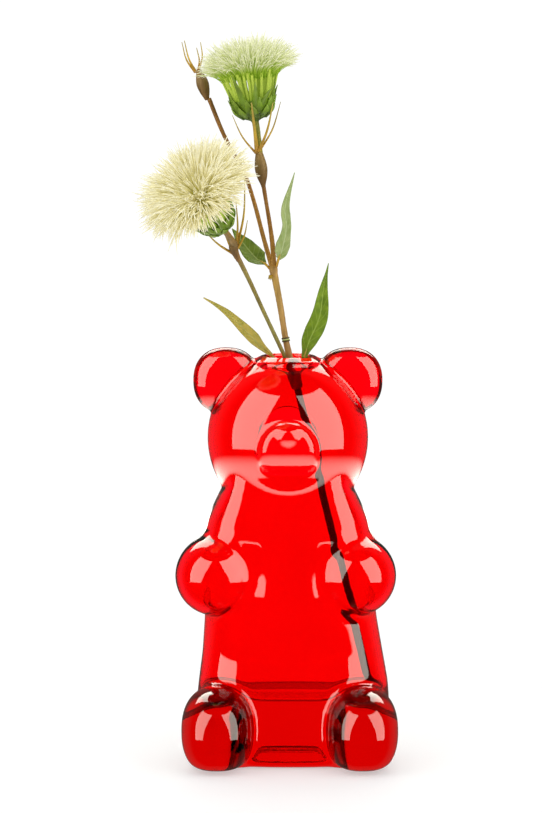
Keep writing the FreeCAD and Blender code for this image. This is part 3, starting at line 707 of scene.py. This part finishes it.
LEAF_COLOURS = {
    # name: dark patches, light patches, veins
    "green_leaf": ((0.09, 0.17, 0.002), (0.19, 0.30, 0.008), (0.30, 0.42, 0.06)),
    "pale_leaf": ((0.26, 0.36, 0.09), (0.42, 0.50, 0.20), (0.54, 0.62, 0.32)),
    "dark_leaf": ((0.08, 0.14, 0.008), (0.16, 0.24, 0.02), (0.30, 0.38, 0.10)),
    "dry_leaf": ((0.34, 0.30, 0.04), (0.56, 0.42, 0.08), (0.44, 0.46, 0.14)),
}

MATERIALS = {"glass": glass_material(), "steel": steel_material()}
for label, stops in PLASTIC_TONES.items():
    MATERIALS[label] = stem_material(label, stops, FAINT_STREAKS.get(label, STEM_STREAKS))
for label, stops in FIBRE_TONES.items():
    MATERIALS[label] = fibre_material(label, stops)
for label, colours in LEAF_COLOURS.items():
    MATERIALS[label] = leaf_material(label, *colours)


def place_piece(item, material, body, slot, *nodes):
    """Gives a piece its material and its body, and hides the CAD nodes that it stands for. The slot is
    not used.
    """
    item.data.materials.append(MATERIALS[material])
    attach(item, body)
    if nodes:
        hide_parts(*nodes)


def turned_piece(name, origin, way, profile, wobble, placing, sides=20, steps=4):
    """One lathe shell as a piece; the placing is what place_piece takes after the object."""
    shells = Shells()
    lathe_shell(shells, origin, way, profile, wobble, sides, steps)
    place_piece(shells.build(name), *placing)


# ---- Spray: stems ----

UP_POINT, UP_WAY = joint_place("upper_head_turn")
LOW_POINT, LOW_WAY = joint_place("lower_head_turn")
LEFT_POINT, LEFT_WAY = joint_place("left_branch_turn")
STEM_WAY = Vector(JOINTS["spray_lift"]["axis"]).normalized()


def end_middle(node, side):
    """The middle of a node's highest level, or of its lowest one when the side is -1."""
    places = [vertex.co for vertex in frame["nodes"][node].data.vertices]
    level = max(side * place.z for place in places) - 0.6 * MM
    ends = [place for place in places if side * place.z > level]
    return sum(ends, Vector()) / len(ends)


def low_end(node):
    return end_middle(node, -1)


def high_end(node):
    return end_middle(node, 1)


CROWN = box_middle("crown_socket")
FORK = box_middle("fork_socket") + Vector((1.0, -0.6, -2.4)) * MM


def bowed(start, end, bows):
    """Points from start to end, moved off the straight line by each bow (x, y) in millimetres."""
    points = [start]
    for index, (x, y) in enumerate(bows, start=1):
        point = start.lerp(end, index / (len(bows) + 1))
        points.append(point + Vector((x, y, 0)) * MM)
    points.append(end)
    return points


def stem(name, points, radii, material, body, nodes, seed, slot="stem_plastic", rings=60):
    shells = Shells()
    tube_shell(shells, points, radii, 14, rings, 1.0, 0.07, random.Random(seed))
    place_piece(shells.build(name), material, body, slot, *nodes)


def make_stems():
    foot = low_end("main_stem")
    stem("stem_main", bowed(foot, CROWN, [(0.3, 0), (0.2, 0), (0, 0)]),
         [2.3, 2.2, 2.1, 1.9], "main_stem", "spray", ["main_stem"], 1)
    bend = low_end("ring_ferrule")
    stem("stem_right", [CROWN, bend, bend.lerp(FORK, 0.5) + Vector((0.2, 0, 0)) * MM, FORK],
         [2.0, 1.75, 1.6, 1.7, 1.9], "right_stem", "spray", ["right_branch"], 2)
    stem("stem_left", bowed(LEFT_POINT - LEFT_WAY * 3 * MM, low_end("lower_bulb"),
                            [(0.2, 0), (0.2, 0), (0.4, 0)]),
         [1.0, 1.1, 1.05, 1.15, 1.35], "left_stem", "left_arm", ["left_branch"], 3)
    start = FORK + Vector((-0.2, 0, 1.0)) * MM
    stem("stem_upper", bowed(start, low_end("upper_bulb") + UP_WAY * 1.0 * MM,
                             [(1.0, -0.4), (1.0, 0), (0.5, 0)]),
         [1.55, 1.35, 1.15, 1.05, 1.15], "brown_stem", "spray", ["upper_branch"], 4)
    make_bud_stem()


def make_bud_stem():
    """It leaves the fork leaning left, and passes behind the lower flower."""
    end = high_end("bud_branch")
    start = FORK + Vector((-0.6, 0.8, 1.4)) * MM
    rise = end - start
    points = [start]
    for share, left, back in ((0.17, 0.135, 0.40), (0.40, 0.30, 0.70), (0.56, 0.45, 0.84),
                              (0.78, 0.76, 0.97)):
        points.append(start + Vector((rise.x * left, rise.y * back, rise.z * share)))
    points.append(end)
    stem("stem_bud", points, [1.35, 1.2, 1.1, 1.05, 1.1, 1.2], "brown_stem", "bud_arm",
         ["bud_branch"], 5)


def make_hubs():
    """Crown hub in the mouth, and the sheathed fork with its ring of frayed fibre."""
    profile = [(0.3, -5.2), (2.3, -5.0), (3.0, -3.6), (3.2, -1.0), (3.6, 2.0), (3.4, 4.4),
               (2.6, 5.6), (0.4, 5.8)]
    fork_way = (FORK - low_end("ring_ferrule")).normalized()
    for name, node, centre, way, size in (("hub_crown", "crown_socket", CROWN, STEM_WAY, 1.0),
                                          ("hub_fork", "fork_socket", FORK, fork_way, 0.62)):
        turned_piece(name, centre, way, [(radius * size, height * size) for radius, height in profile],
                     lambda turn, share: 1 + 0.07 * math.sin(turn * 5 + share * 7),
                     ("right_stem", "spray", "stem_plastic", node))
    fray = Shells()
    chance = random.Random(13)
    for _ in range(26):
        turn = chance.uniform(2.0, 4.6)
        out = Vector((math.cos(turn), math.sin(turn), 0))
        foot = FORK + (out * 1.6 - Vector((0, 0, 1.0))) * MM
        reach = out * chance.uniform(0.8, 2.6)
        tip = foot + (reach - Vector((0, 0, chance.uniform(0.6, 3.0)))) * MM
        tube_shell(fray, [foot, foot.lerp(tip, 0.5) + out * 0.3 * MM, tip], [0.22, 0.1], 4, 4)
    place_piece(fray.build("fork_fray"), "prong", "spray", "tendril_plastic")


def make_ferrule():
    """The joint ring above the mouth: two dark bands with a pale one between."""
    foot = low_end("ring_ferrule")
    way = (FORK - foot).normalized()
    centre = foot + way * 0.4 * MM
    for name, low, high, radius, material in (("ring_lower", 0.0, 0.9, 1.98, "main_stem"),
                                              ("ring_pale", 0.9, 1.5, 1.86, "white_fringe"),
                                              ("ring_upper", 1.5, 2.4, 1.98, "main_stem")):
        nodes = ["ring_ferrule"] if name == "ring_lower" else []
        profile = [(0.2, low), (radius, low + 0.05), (radius, high - 0.05), (0.2, high)]
        turned_piece(name, centre, way, profile, lambda turn, share: 1,
                     (material, "spray", "ferrule_plastic", *nodes), 24, 3)


# ---- Spray: bulbs and whorls ----


def make_upper_bulb():
    """A brown spindle, then the thin green neck up to the flower."""
    foot = low_end("upper_bulb")
    length = (UP_POINT - foot).length
    profile = [(1.1, -0.6), (1.5, 1.2), (2.6, 4.4), (3.3, 8.2), (3.2, 11.5), (2.5, 15.2),
               (1.7, 18.4), (1.2, 20.5)]
    turned_piece("bulb_upper", foot, UP_WAY, profile,
                 lambda turn, share: 1 + 0.04 * math.sin(turn * 3 + 1),
                 ("bulb", "spray", "bulb_plastic", "upper_bulb"))
    neck = bowed(foot + UP_WAY * 17 * MM, foot + UP_WAY * (length + 1.5 * MM), [(0.3, 0)])
    stem("neck_upper", neck, [1.9, 1.7, 2.0], "neck", "spray", [], 21, "bulb_plastic", 20)


def make_lower_bulb():
    """The node where the prongs grow, and the bent neck up into the lower flower."""
    foot = low_end("lower_bulb")
    start = LOW_POINT - LOW_WAY * 13 * MM
    points = [foot - LEFT_WAY * 7 * MM, foot, start + LOW_WAY * 2 * MM, LOW_POINT + LOW_WAY * 2 * MM]
    stem("bulb_lower", points, [1.3, 2.0, 2.5, 2.2, 1.6, 1.5], "bulb", "left_arm", ["lower_bulb"],
         22, "bulb_plastic", 30)


def make_bud():
    """A closed bud on the branch's end, like a smaller spindle."""
    foot = low_end("bud_bulb")
    way = (high_end("bud_bulb") - foot).normalized()
    profile = [(1.1, -0.6), (1.5, 0.8), (2.5, 3.8), (3.2, 7.6), (2.95, 10.4), (2.1, 13.4),
               (1.4, 15.6), (1.1, 16.4)]
    turned_piece("bulb_bud", foot, way, profile,
                 lambda turn, share: 1 + 0.05 * math.sin(turn * 4),
                 ("bulb", "bud_arm", "bulb_plastic", "bud_bulb"))


def prongs(name, foot, way, tips, body, node, widths, flat=0.5):
    """Thin curved prongs from one foot. Tips are (x, y, z, bow) in millimetres from the foot;
    the bow pushes the middle outwards."""
    shells = Shells()
    for x, y, z, bow in tips:
        tip = foot + Vector((x, y, z)) * MM
        outward = (tip - foot - way * (tip - foot).dot(way)).normalized()
        start = foot + outward * 0.7 * MM - way * 1.0 * MM
        middle = start.lerp(tip, 0.45) + outward * bow * MM
        tube_shell(shells, [start, middle, tip], widths, 8, 16, flat, facing=outward)
    place_piece(shells.build(name), "prong", body, "tendril_plastic", node)


def make_whorls():
    upper_foot = low_end("upper_tendrils") + UP_WAY * 0.4 * MM
    prongs("prongs_upper", upper_foot, UP_WAY,
           [(-13.0, -1.5, 19.0, 1.6), (-2.8, -13.5, 26.0, 1.0), (8.6, -12.0, 26.0, 1.8),
            (12.6, 4.0, 26.0, 2.2)],
           "spray", "upper_tendrils", [1.3, 0.95, 0.7, 0.3])
    lower_foot = low_end("lower_tendrils") + LEFT_WAY * 0.5 * MM
    prongs("prongs_lower", lower_foot, LEFT_WAY,
           [(-15.5, 1.0, 11.0, 1.2), (-10.0, 6.0, 23.0, 1.0), (1.2, 2.0, 28.0, 1.4),
            (7.5, -1.0, 16.5, 1.8), (6.0, 5.0, 40.0, 2.6)],
           "left_arm", "lower_tendrils", [1.4, 1.1, 0.75, 0.35])
    bud_foot = low_end("bud_tendrils")
    bud_way = (high_end("bud_bulb") - low_end("bud_bulb")).normalized()
    prongs("prongs_bud", bud_foot, bud_way,
           [(-7.6, 0.5, 15.0, 1.6), (-6.2, -2.0, 15.8, 2.0), (2.4, -1.0, 15.0, 1.8),
            (0.2, 2.0, 12.0, 1.2)],
           "bud_arm", "bud_tendrils", [0.95, 0.6, 0.42, 0.25], 0.8)


# ---- Flower heads ----


class HeadFrame:
    """A flower's own axes: z along the flower, x and y across it."""

    def __init__(self, origin, way):
        self.origin = origin
        self.turn = way.to_track_quat("Z", "Y").to_matrix()

    def point(self, radius, angle, height):
        """A point from a radius, an angle and a height, all in millimetres and radians."""
        return self.origin + self.turn @ Vector((math.cos(angle) * radius,
                                                 math.sin(angle) * radius, height)) * MM

    def direction(self, angle, lean):
        """A unit direction that leans from the axis towards the angle."""
        return self.turn @ Vector((math.cos(angle) * math.sin(lean),
                                   math.sin(angle) * math.sin(lean), math.cos(lean)))


def make_calyx(name, head, way, radius, height, body):
    """The cup under a flower, with twelve shallow ribs."""
    profile = [(0.5, -0.5), (1.7, -0.3), (2.4, 0.8), (radius * 0.55, height * 0.22),
               (radius * 0.84, height * 0.5), (radius * 0.97, height * 0.8), (radius, height),
               (radius * 0.9, height + 0.6), (radius * 0.5, height + 0.9), (0.4, height + 1.0)]
    turned_piece(name + "_cup", head.origin, way, profile,
                 lambda turn, share: 1 + 0.035 * math.sin(turn * 12) * min(share * 3, 1),
                 ("calyx", body, "calyx_plastic", name + "_calyx"), 48, 3)


def make_bracts(name, head, radius, height, blades, scales, body, seed):
    """Long pointed bracts round the cup, over two rows of short scales. Each blade is (angle in
    degrees, reach from the axis, tip height, half width)."""
    shells = Shells()
    chance = random.Random(seed)
    for row, (start_level, end_level, count) in enumerate(scales):
        for index in range(count):
            angle = 2 * math.pi * (index + 0.5 * row) / count
            low_radius = radius * (0.55 + 0.3 * row)
            mid_level = (start_level + end_level) / 2
            spine = [head.point(low_radius, angle, height * start_level),
                     head.point(radius * (0.93 + 0.1 * row), angle, height * mid_level),
                     head.point(radius * (1.06 + 0.10 * row), angle, height * end_level)]
            out = head.direction(angle, math.radians(75))
            blade_shell(shells, spine, [1.2, 2.6, 1.7, 0.1], (out, out), -0.3, 10, 0.0, 2)
    for angle, reach, rise, half in blades:
        turn = math.radians(angle)
        spine = [head.point(radius * 0.78, turn, height * 0.30),
                 head.point(radius * 1.06, turn, height * 0.85),
                 head.point((radius + reach) * 0.53, turn, (height + rise) * 0.52),
                 head.point(reach, turn, rise)]
        normals = (head.direction(turn, math.radians(80)),
                   head.direction(turn, math.radians(120 - rise)))
        blade_shell(shells, spine, [half * 0.8, half, half * 0.55, 0.1], normals, -0.35, 14,
                    0.06 * chance.random(), 2)
    place_piece(shells.build(name + "_bract_whorl"), "bract", body, "bract_plastic",
                name + "_bracts")


def make_florets(name, head, radius, top_radius, low, high, count, body, seed):
    """Packed slender tubes that fan out from the cup, with gaps between."""
    shells = Shells()
    chance = random.Random(seed)
    for index in range(count):
        outer_count = count * 0.62
        ring = radius * (0.97 if index < outer_count else chance.uniform(0.2, 0.75))
        angle = 2 * math.pi * index / outer_count + chance.uniform(-0.05, 0.05)
        flare = top_radius / radius * chance.uniform(0.86, 1.12)
        points = [head.point(ring * 0.86, angle, low),
                  head.point(ring * (0.62 + 0.4 * flare), angle, (low + high) / 2),
                  head.point(ring * flare, angle, high + chance.uniform(-2.5, 2.0))]
        width = chance.uniform(0.62, 0.95)
        tube_shell(shells, points, [width * 0.8, width, width * 0.8, width * 1.3], 7, 9, 1.0,
                   0.12, chance)
    place_piece(shells.build(name + "_floret_tubes"), "floret", body, "floret_fibre",
                name + "_florets")


def fringe(name, layer, head, base, rows, material, body, slot, seed, width, droop=0.0,
           near_bud=None):
    """Rings of fine filaments. Each row is (count, base radius, start lean, end lean, length),
    in millimetres and degrees; they arch from the first lean to the last, hang lower by the
    droop on the left, and are shorter on the side where the bud stands."""
    chance = random.Random(seed)
    shells = Shells()
    steps = 7
    for count, base_radius, lean_from, lean_to, length in rows:
        for index in range(count):
            angle = 2 * math.pi * (index + chance.random()) / count
            first = math.radians(lean_from + chance.gauss(0, 5))
            last = math.radians(lean_to + chance.gauss(0, 11))
            reach = length * chance.uniform(0.76, 1.07)
            tuft = math.sin(angle * 9 + base_radius) * math.sin(angle * 4 + length)
            reach = reach * (1 + 0.09 * tuft)
            last = last + 0.10 * tuft - math.radians(droop) * math.cos(angle)
            if near_bud is not None:
                reach = reach * (1 - 0.30 * max(math.cos(angle - near_bud), 0) ** 14)
            drift = chance.gauss(0, 0.20)
            curl = chance.gauss(0, 0.30)
            place = head.point(base_radius * chance.uniform(0.8, 1.15), angle,
                               base + chance.uniform(-1.2, 0.8))
            points = [place]
            for step in range(steps):
                share = (step + 0.5) / steps
                lean = first + (last - first) * share + curl * share ** 3
                place = place + head.direction(angle + drift * share, lean) * (reach / steps) * MM
                points.append(place)
            filament(shells, points, width * chance.uniform(0.8, 1.25), chance)
    item = shells.build("%s_fringe_of_%s" % (layer, name))
    place_piece(item, material, body, slot, "%s_fringe_%s" % (name, layer))


def filament(shells, points, width, chance):
    """A three-sided thread, a little thicker near its tip, then pointed."""
    shares = [0.8, 0.8, 0.85, 0.95, 1.05, 1.15, 1.0, 0.35]
    ahead = (points[-1] - points[0]).normalized()
    across = ahead.cross(Vector((chance.uniform(-1, 1), chance.uniform(-1, 1), 0.7))).normalized()
    normal = across.cross(ahead)
    vertices = []
    tones = []
    for index, (point, share) in enumerate(zip(points, shares)):
        half = width * share * MM
        for corner in range(3):
            turn = 2 * math.pi * corner / 3
            vertices.append(point + across * (math.cos(turn) * half) + normal * (math.sin(turn) * half))
            tones.append(index / (len(points) - 1))
    shells.add(vertices, ring_faces(len(points), 3), tones)


def make_upper_flower():
    """Seen from the side: green cup, tall pale tubes, a white fringe that opens like a brush."""
    head = HeadFrame(UP_POINT, UP_WAY)
    make_calyx("upper", head, UP_WAY, 11.0, 11.5, "upper_head")
    blades = [(200, 23.0, 9.5, 1.7), (170, 16.5, 22.0, 1.9), (262, 12.5, 24.0, 2.0),
              (336, 23.0, 27.0, 2.0), (8, 21.5, 21.5, 1.8), (30, 22.0, 17.0, 1.8),
              (70, 14.5, 22.0, 1.9), (108, 15.0, 18.0, 1.8), (140, 14.0, 21.0, 1.9),
              (232, 13.0, 18.0, 1.7), (296, 13.5, 19.0, 1.8)]
    make_bracts("upper", head, 11.2, 11.5, blades, [(0.15, 0.75, 9), (0.4, 1.15, 10)],
                "upper_head", 31)
    make_florets("upper", head, 10.4, 15.0, 8.0, 27.0, 70, "upper_head", 32)
    shared = ("white_fringe", "upper_head", "white_fringe")
    bud = head.turn.transposed() @ (high_end("bud_bulb") - UP_POINT)
    near_bud = math.atan2(bud.y, bud.x)
    fringe("upper", "outer", head, 23.5, [(340, 13.0, 30, 92, 17.0), (320, 12.0, 26, 78, 19.5)],
           *shared, 33, 0.25, 16.0, near_bud)
    fringe("upper", "middle", head, 24.0, [(300, 10.4, 20, 60, 20.5), (240, 7.6, 16, 46, 21.5)],
           *shared, 34, 0.25, 8.0, near_bud)
    fringe("upper", "inner", head, 24.0, [(190, 4.8, 10, 34, 22.0), (100, 2.4, 6, 20, 22.0)],
           *shared, 35, 0.25)


def make_lower_flower():
    """Facing the viewer: a dense cream pompom with a green-yellow eye."""
    head = HeadFrame(LOW_POINT, LOW_WAY)
    make_calyx("lower", head, LOW_WAY, 10.4, 11.0, "lower_head")
    blades = [(angle, 15.5 + 2.0 * math.sin(angle), 21.0 + 3.0 * math.cos(angle * 3), 1.9)
              for angle in range(0, 360, 36)]
    make_bracts("lower", head, 10.6, 11.0, blades, [(0.15, 0.75, 9), (0.4, 1.2, 10)],
                "lower_head", 41)
    make_florets("lower", head, 9.8, 12.5, 8.0, 26.0, 60, "lower_head", 42)
    shared = ("cream_fringe", "lower_head", "cream_fringe")
    fringe("lower", "outer", head, 25.0, [(400, 12.0, 46, 100, 23.0), (400, 10.8, 40, 92, 25.5)],
           *shared, 43, 0.30)
    fringe("lower", "middle", head, 26.0, [(400, 8.8, 32, 84, 26.0), (320, 7.0, 24, 68, 25.0)],
           *shared, 44, 0.29)
    fringe("lower", "inner", head, 26.0, [(220, 4.6, 14, 56, 20.0), (90, 2.8, 6, 58, 12.0)],
           *shared, 45, 0.29)


# ---- Leaves ----


def make_leaf(name, blade_box, corner, shift, near_stalk, near_tip, widths, normals, material,
              slot, fold=0.22, wave=0.05):
    """A blade from its stalk's peg to a corner (0 low, 1 high) of its CAD box, moved by a shift.
    The spine's places are (distance along the stalk's way, x, z) near the stalk, and (share of
    the line to the tip, x, z) after that, with x and z the offsets to the side and up."""
    point, way = joint_place(name + "_turn")
    end = Vector([blade_box[pick][axis] for axis, pick in enumerate(corner)])
    tip = (end - point) / MM + Vector(shift)
    spine = [way * far + Vector((x, 0, z)) for far, x, z in near_stalk]
    spine += [tip * share + Vector((x, 0, z)) for share, x, z in near_tip] + [tip]
    places = [point + offset * MM for offset in spine]
    shells = Shells()
    blade_shell(shells, places, widths, normals, fold, 34, wave, 5)
    place_piece(shells.build(name + "_sheet"), material, name, slot, name + "_blade")
    stalk = Shells()
    tube_shell(stalk, [point - way * 3.5 * MM, places[0], places[0].lerp(places[1], 0.6)],
               [0.7, 0.75, 0.3], 10, 12)
    place_piece(stalk.build(name + "_foot"), "prong", name, "tendril_plastic", name + "_stalk")


def make_leaves():
    """Each leaf ends where its CAD blade ends, with the curl and twist of a fabric leaf."""
    make_leaf("left_leaf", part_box("left_leaf_blade"), (0, 1, 1), (-1.0, -3.0, -6.0),
              [(12, 0.4, 0.4)], [(0.35, 1.2, 0.6), (0.52, 1.6, 1.2), (0.74, 1.8, 1.6), (0.88, 1.2, 1.0)],
              [1.2, 2.4, 3.9, 3.5, 2.4, 1.4, 0.8, 0.3], [(0.35, -0.75, 0.75), (0.2, -0.9, 0.5)],
              "dry_leaf", "dry_leaf_fabric")
    make_leaf("right_leaf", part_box("right_leaf_blade"), (1, 1, 1), (0, 0, 0),
              [(4, 0, 0), (14, 0.6, 0)], [(0.48, 2.6, 0), (0.76, 0.8, 0)],
              [1.2, 2.2, 4.2, 5.0, 4.6, 3.6, 2.2, 0.9, 0.15], [(-0.25, -1, 0.15), (0.3, -1, 0.1)],
              "green_leaf", "leaf_fabric")
    make_leaf("upper_leaf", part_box("upper_leaf_blade"), (1, 0, 1), (-3.0, 4.0, 3.0),
              [(1.5, 0, 0), (6, 0.6, 0)], [(0.38, 1.2, 0), (0.62, -1.6, 0)],
              [1.5, 2.2, 3.4, 3.9, 2.6, 2.4, 2.6, 2.0, 1.1, 0.15], [(-0.5, -1, 0.1), (0.7, -1, 0.1)],
              "pale_leaf", "leaf_fabric", 0.3, 0.12)
    make_leaf("fork_leaf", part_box("fork_leaf_blade"), (0, 1, 1), (0, 0, 0),
              [(0.5, 0, 0), (7, -0.6, -1.6)], [(0.6, -0.6, -1.0)],
              [1.0, 3.6, 5.8, 6.0, 4.6, 2.4, 0.2], [(0.5, -0.8, 0.5), (0.3, -0.9, 0.4)],
              "dark_leaf", "leaf_fabric")


# ---- Stage, light and camera ----

# Sizes and distances on the stage are in metres. Directions are in radians: a turn is measured
# level, from straight in front of the vase or from straight behind it, and an elevation from
# level. Each edge of a light is a short slope from its first number to its second.
FLOOR_HALF = 0.6
FLOOR_FADE = (0.16, 0.32)
CARD_RADII = (0.062, 0.20)
CARD_HEIGHT = 0.118
CARD_EDGES = ((0.069, 0.073), (0.088, 0.19))
WINDOW_TURNS = ((0.68, 0.70), (1.40, 1.42))
WINDOW_SLANT = 0.43
WINDOW_ELEVATIONS = ((-0.22, -0.20), (0.92, 0.95))
TOP_TURN = (0.8, 0.84)
TOP_ELEVATIONS = ((0.50, 0.53), (1.12, 1.16))
BACKDROP_TURN = (1.0, 1.5)
WINDOW_LIGHT = 6.0
TOP_LIGHT = 7.0
WARM_WHITE = (1.0, 0.98, 0.86)


def make_floor():
    """A white sheet that fades out round the vase. The glass neither mirrors it nor shows it
    through itself: what it shows there is the white studio."""
    size = FLOOR_HALF
    floor = mesh_object("floor", [(-size, -size, 0), (size, -size, 0), (size, size, 0),
                                  (-size, size, 0)], [(0, 1, 2, 3)], False)
    floor.location.z = -0.2 * MM
    material, graph, shader = new_material("floor")
    graph.fill(shader, {"Base Color": (0.56, 0.56, 0.56), "Roughness": 0.6,
                        "Specular IOR Level": 0.1, "Emission Color": (1.0, 1.0, 1.0),
                        "Emission Strength": 0.45})
    graph.blend_shaders(graph.step(graph.from_middle(), *FLOOR_FADE), shader,
                        graph.add("BsdfTransparent"))
    floor.data.materials.append(material)
    floor.visible_transmission = False
    floor.visible_glossy = False


def make_card():
    """A ring that lights upwards round the belly, seen only as the glass above it mirrors it."""
    turns = 96
    corners = [(radius * math.cos(2 * math.pi * i / turns), radius * math.sin(2 * math.pi * i / turns), 0)
               for radius in CARD_RADII for i in range(turns)]
    faces = [(turns + i, turns + (i + 1) % turns, (i + 1) % turns, i) for i in range(turns)]
    card = mesh_object("card", corners, faces, False)
    card.location.z = CARD_HEIGHT
    material, graph, _ = new_material("card")
    upper_side = graph.inverse(graph.add("NewGeometry").outputs["Backfacing"])
    share = graph.times(graph.band(graph.from_middle(), *CARD_EDGES), upper_side)
    lit = graph.fill(graph.add("Emission"), {"Color": WARM_WHITE, "Strength": 5.0})
    graph.blend_shaders(share, graph.add("BsdfTransparent"), lit)
    card.data.materials.append(material)
    for kind in ("camera", "diffuse", "transmission", "volume_scatter", "shadow"):
        setattr(card, "visible_" + kind, False)


def make_world():
    """A white studio: what is seen directly or through the glass is white, and what the glass
    reflects is a dark room with tall soft boxes left and right, and a light above and behind."""
    world = bpy.data.worlds.new("studio")
    bpy.context.scene.world = world
    world.use_nodes = True
    graph = Graph(world.node_tree)
    calc, plus, times, inverse, step = graph.maths, graph.plus, graph.times, graph.inverse, graph.step

    parts = graph.fill(graph.add("SeparateXYZ"), {"Vector": graph.add("TexCoord").outputs["Generated"]})
    x, y, z = parts.outputs
    elevation = calc("ARCSINE", z)
    from_front = calc("ABSOLUTE", calc("ARCTAN2", x, times(y, -1.0)))
    from_back = calc("SUBTRACT", math.pi, from_front)

    slanted = plus(from_front, times(elevation, WINDOW_SLANT))
    windows = times(times(step(slanted, *WINDOW_TURNS[0]), inverse(step(from_front, *WINDOW_TURNS[1]))),
                    graph.band(elevation, *WINDOW_ELEVATIONS))
    top = times(inverse(step(from_back, *TOP_TURN)), graph.band(elevation, *TOP_ELEVATIONS))
    backdrop = inverse(step(from_back, *BACKDROP_TURN))

    mirrored_light = plus(times(windows, WINDOW_LIGHT), times(top, TOP_LIGHT))
    mirrored_light = plus(plus(mirrored_light, times(backdrop, 0.08)), 0.01)
    dark_above = inverse(times(step(elevation, 0.6, 1.2), 0.75))
    dark_below = inverse(times(step(elevation, -0.9, -1.35), 0.8))
    light_through = plus(plus(times(backdrop, 0.92), times(windows, 0.35)), 0.34)
    light_through = times(times(light_through, dark_above), dark_below)
    soft_light = plus(0.86, times(windows, 0.9))

    rays = graph.add("LightPath").outputs
    strength = soft_light
    for kind, light in (("Glossy", mirrored_light), ("Transmission", light_through), ("Camera", 1.05)):
        is_kind = rays["Is %s Ray" % kind]
        strength = plus(times(is_kind, light), times(inverse(is_kind), strength))
    tint = graph.mix("MIX", rays["Is Glossy Ray"], (1.0, 1.0, 1.0), WARM_WHITE)
    graph.fill(graph.nodes["Background"], {"Color": tint, "Strength": strength})


def make_camera():
    camera = bpy.data.objects.new("camera", bpy.data.cameras.new("camera"))
    camera.data.lens = 158.7
    camera.data.sensor_width = 36.0
    camera.data.clip_end = 50
    camera.location = (-0.009, -1.9, 0.40)
    camera.rotation_euler = (math.radians(90 - 6.338), 0, 0)
    bpy.context.scene.collection.objects.link(camera)
    bpy.context.scene.camera = camera


def set_look():
    scene = bpy.context.scene
    scene.view_settings.view_transform = "Standard"
    scene.view_settings.look = "None"
    scene.cycles.use_denoising = True
    scene.cycles.max_bounces = 16
    scene.cycles.transmission_bounces = 16
    scene.cycles.glossy_bounces = 8
    scene.cycles.sample_clamp_indirect = 8


make_vase(MATERIALS["glass"])
make_stems()
make_hubs()
make_ferrule()
make_upper_bulb()
make_lower_bulb()
make_bud()
make_whorls()
make_upper_flower()
make_lower_flower()
make_leaves()
wire = frame["nodes"]["core_wire"]
wire.data.materials.clear()
wire.data.materials.append(MATERIALS["steel"])
make_floor()
make_card()
make_world()
make_camera()
set_look()
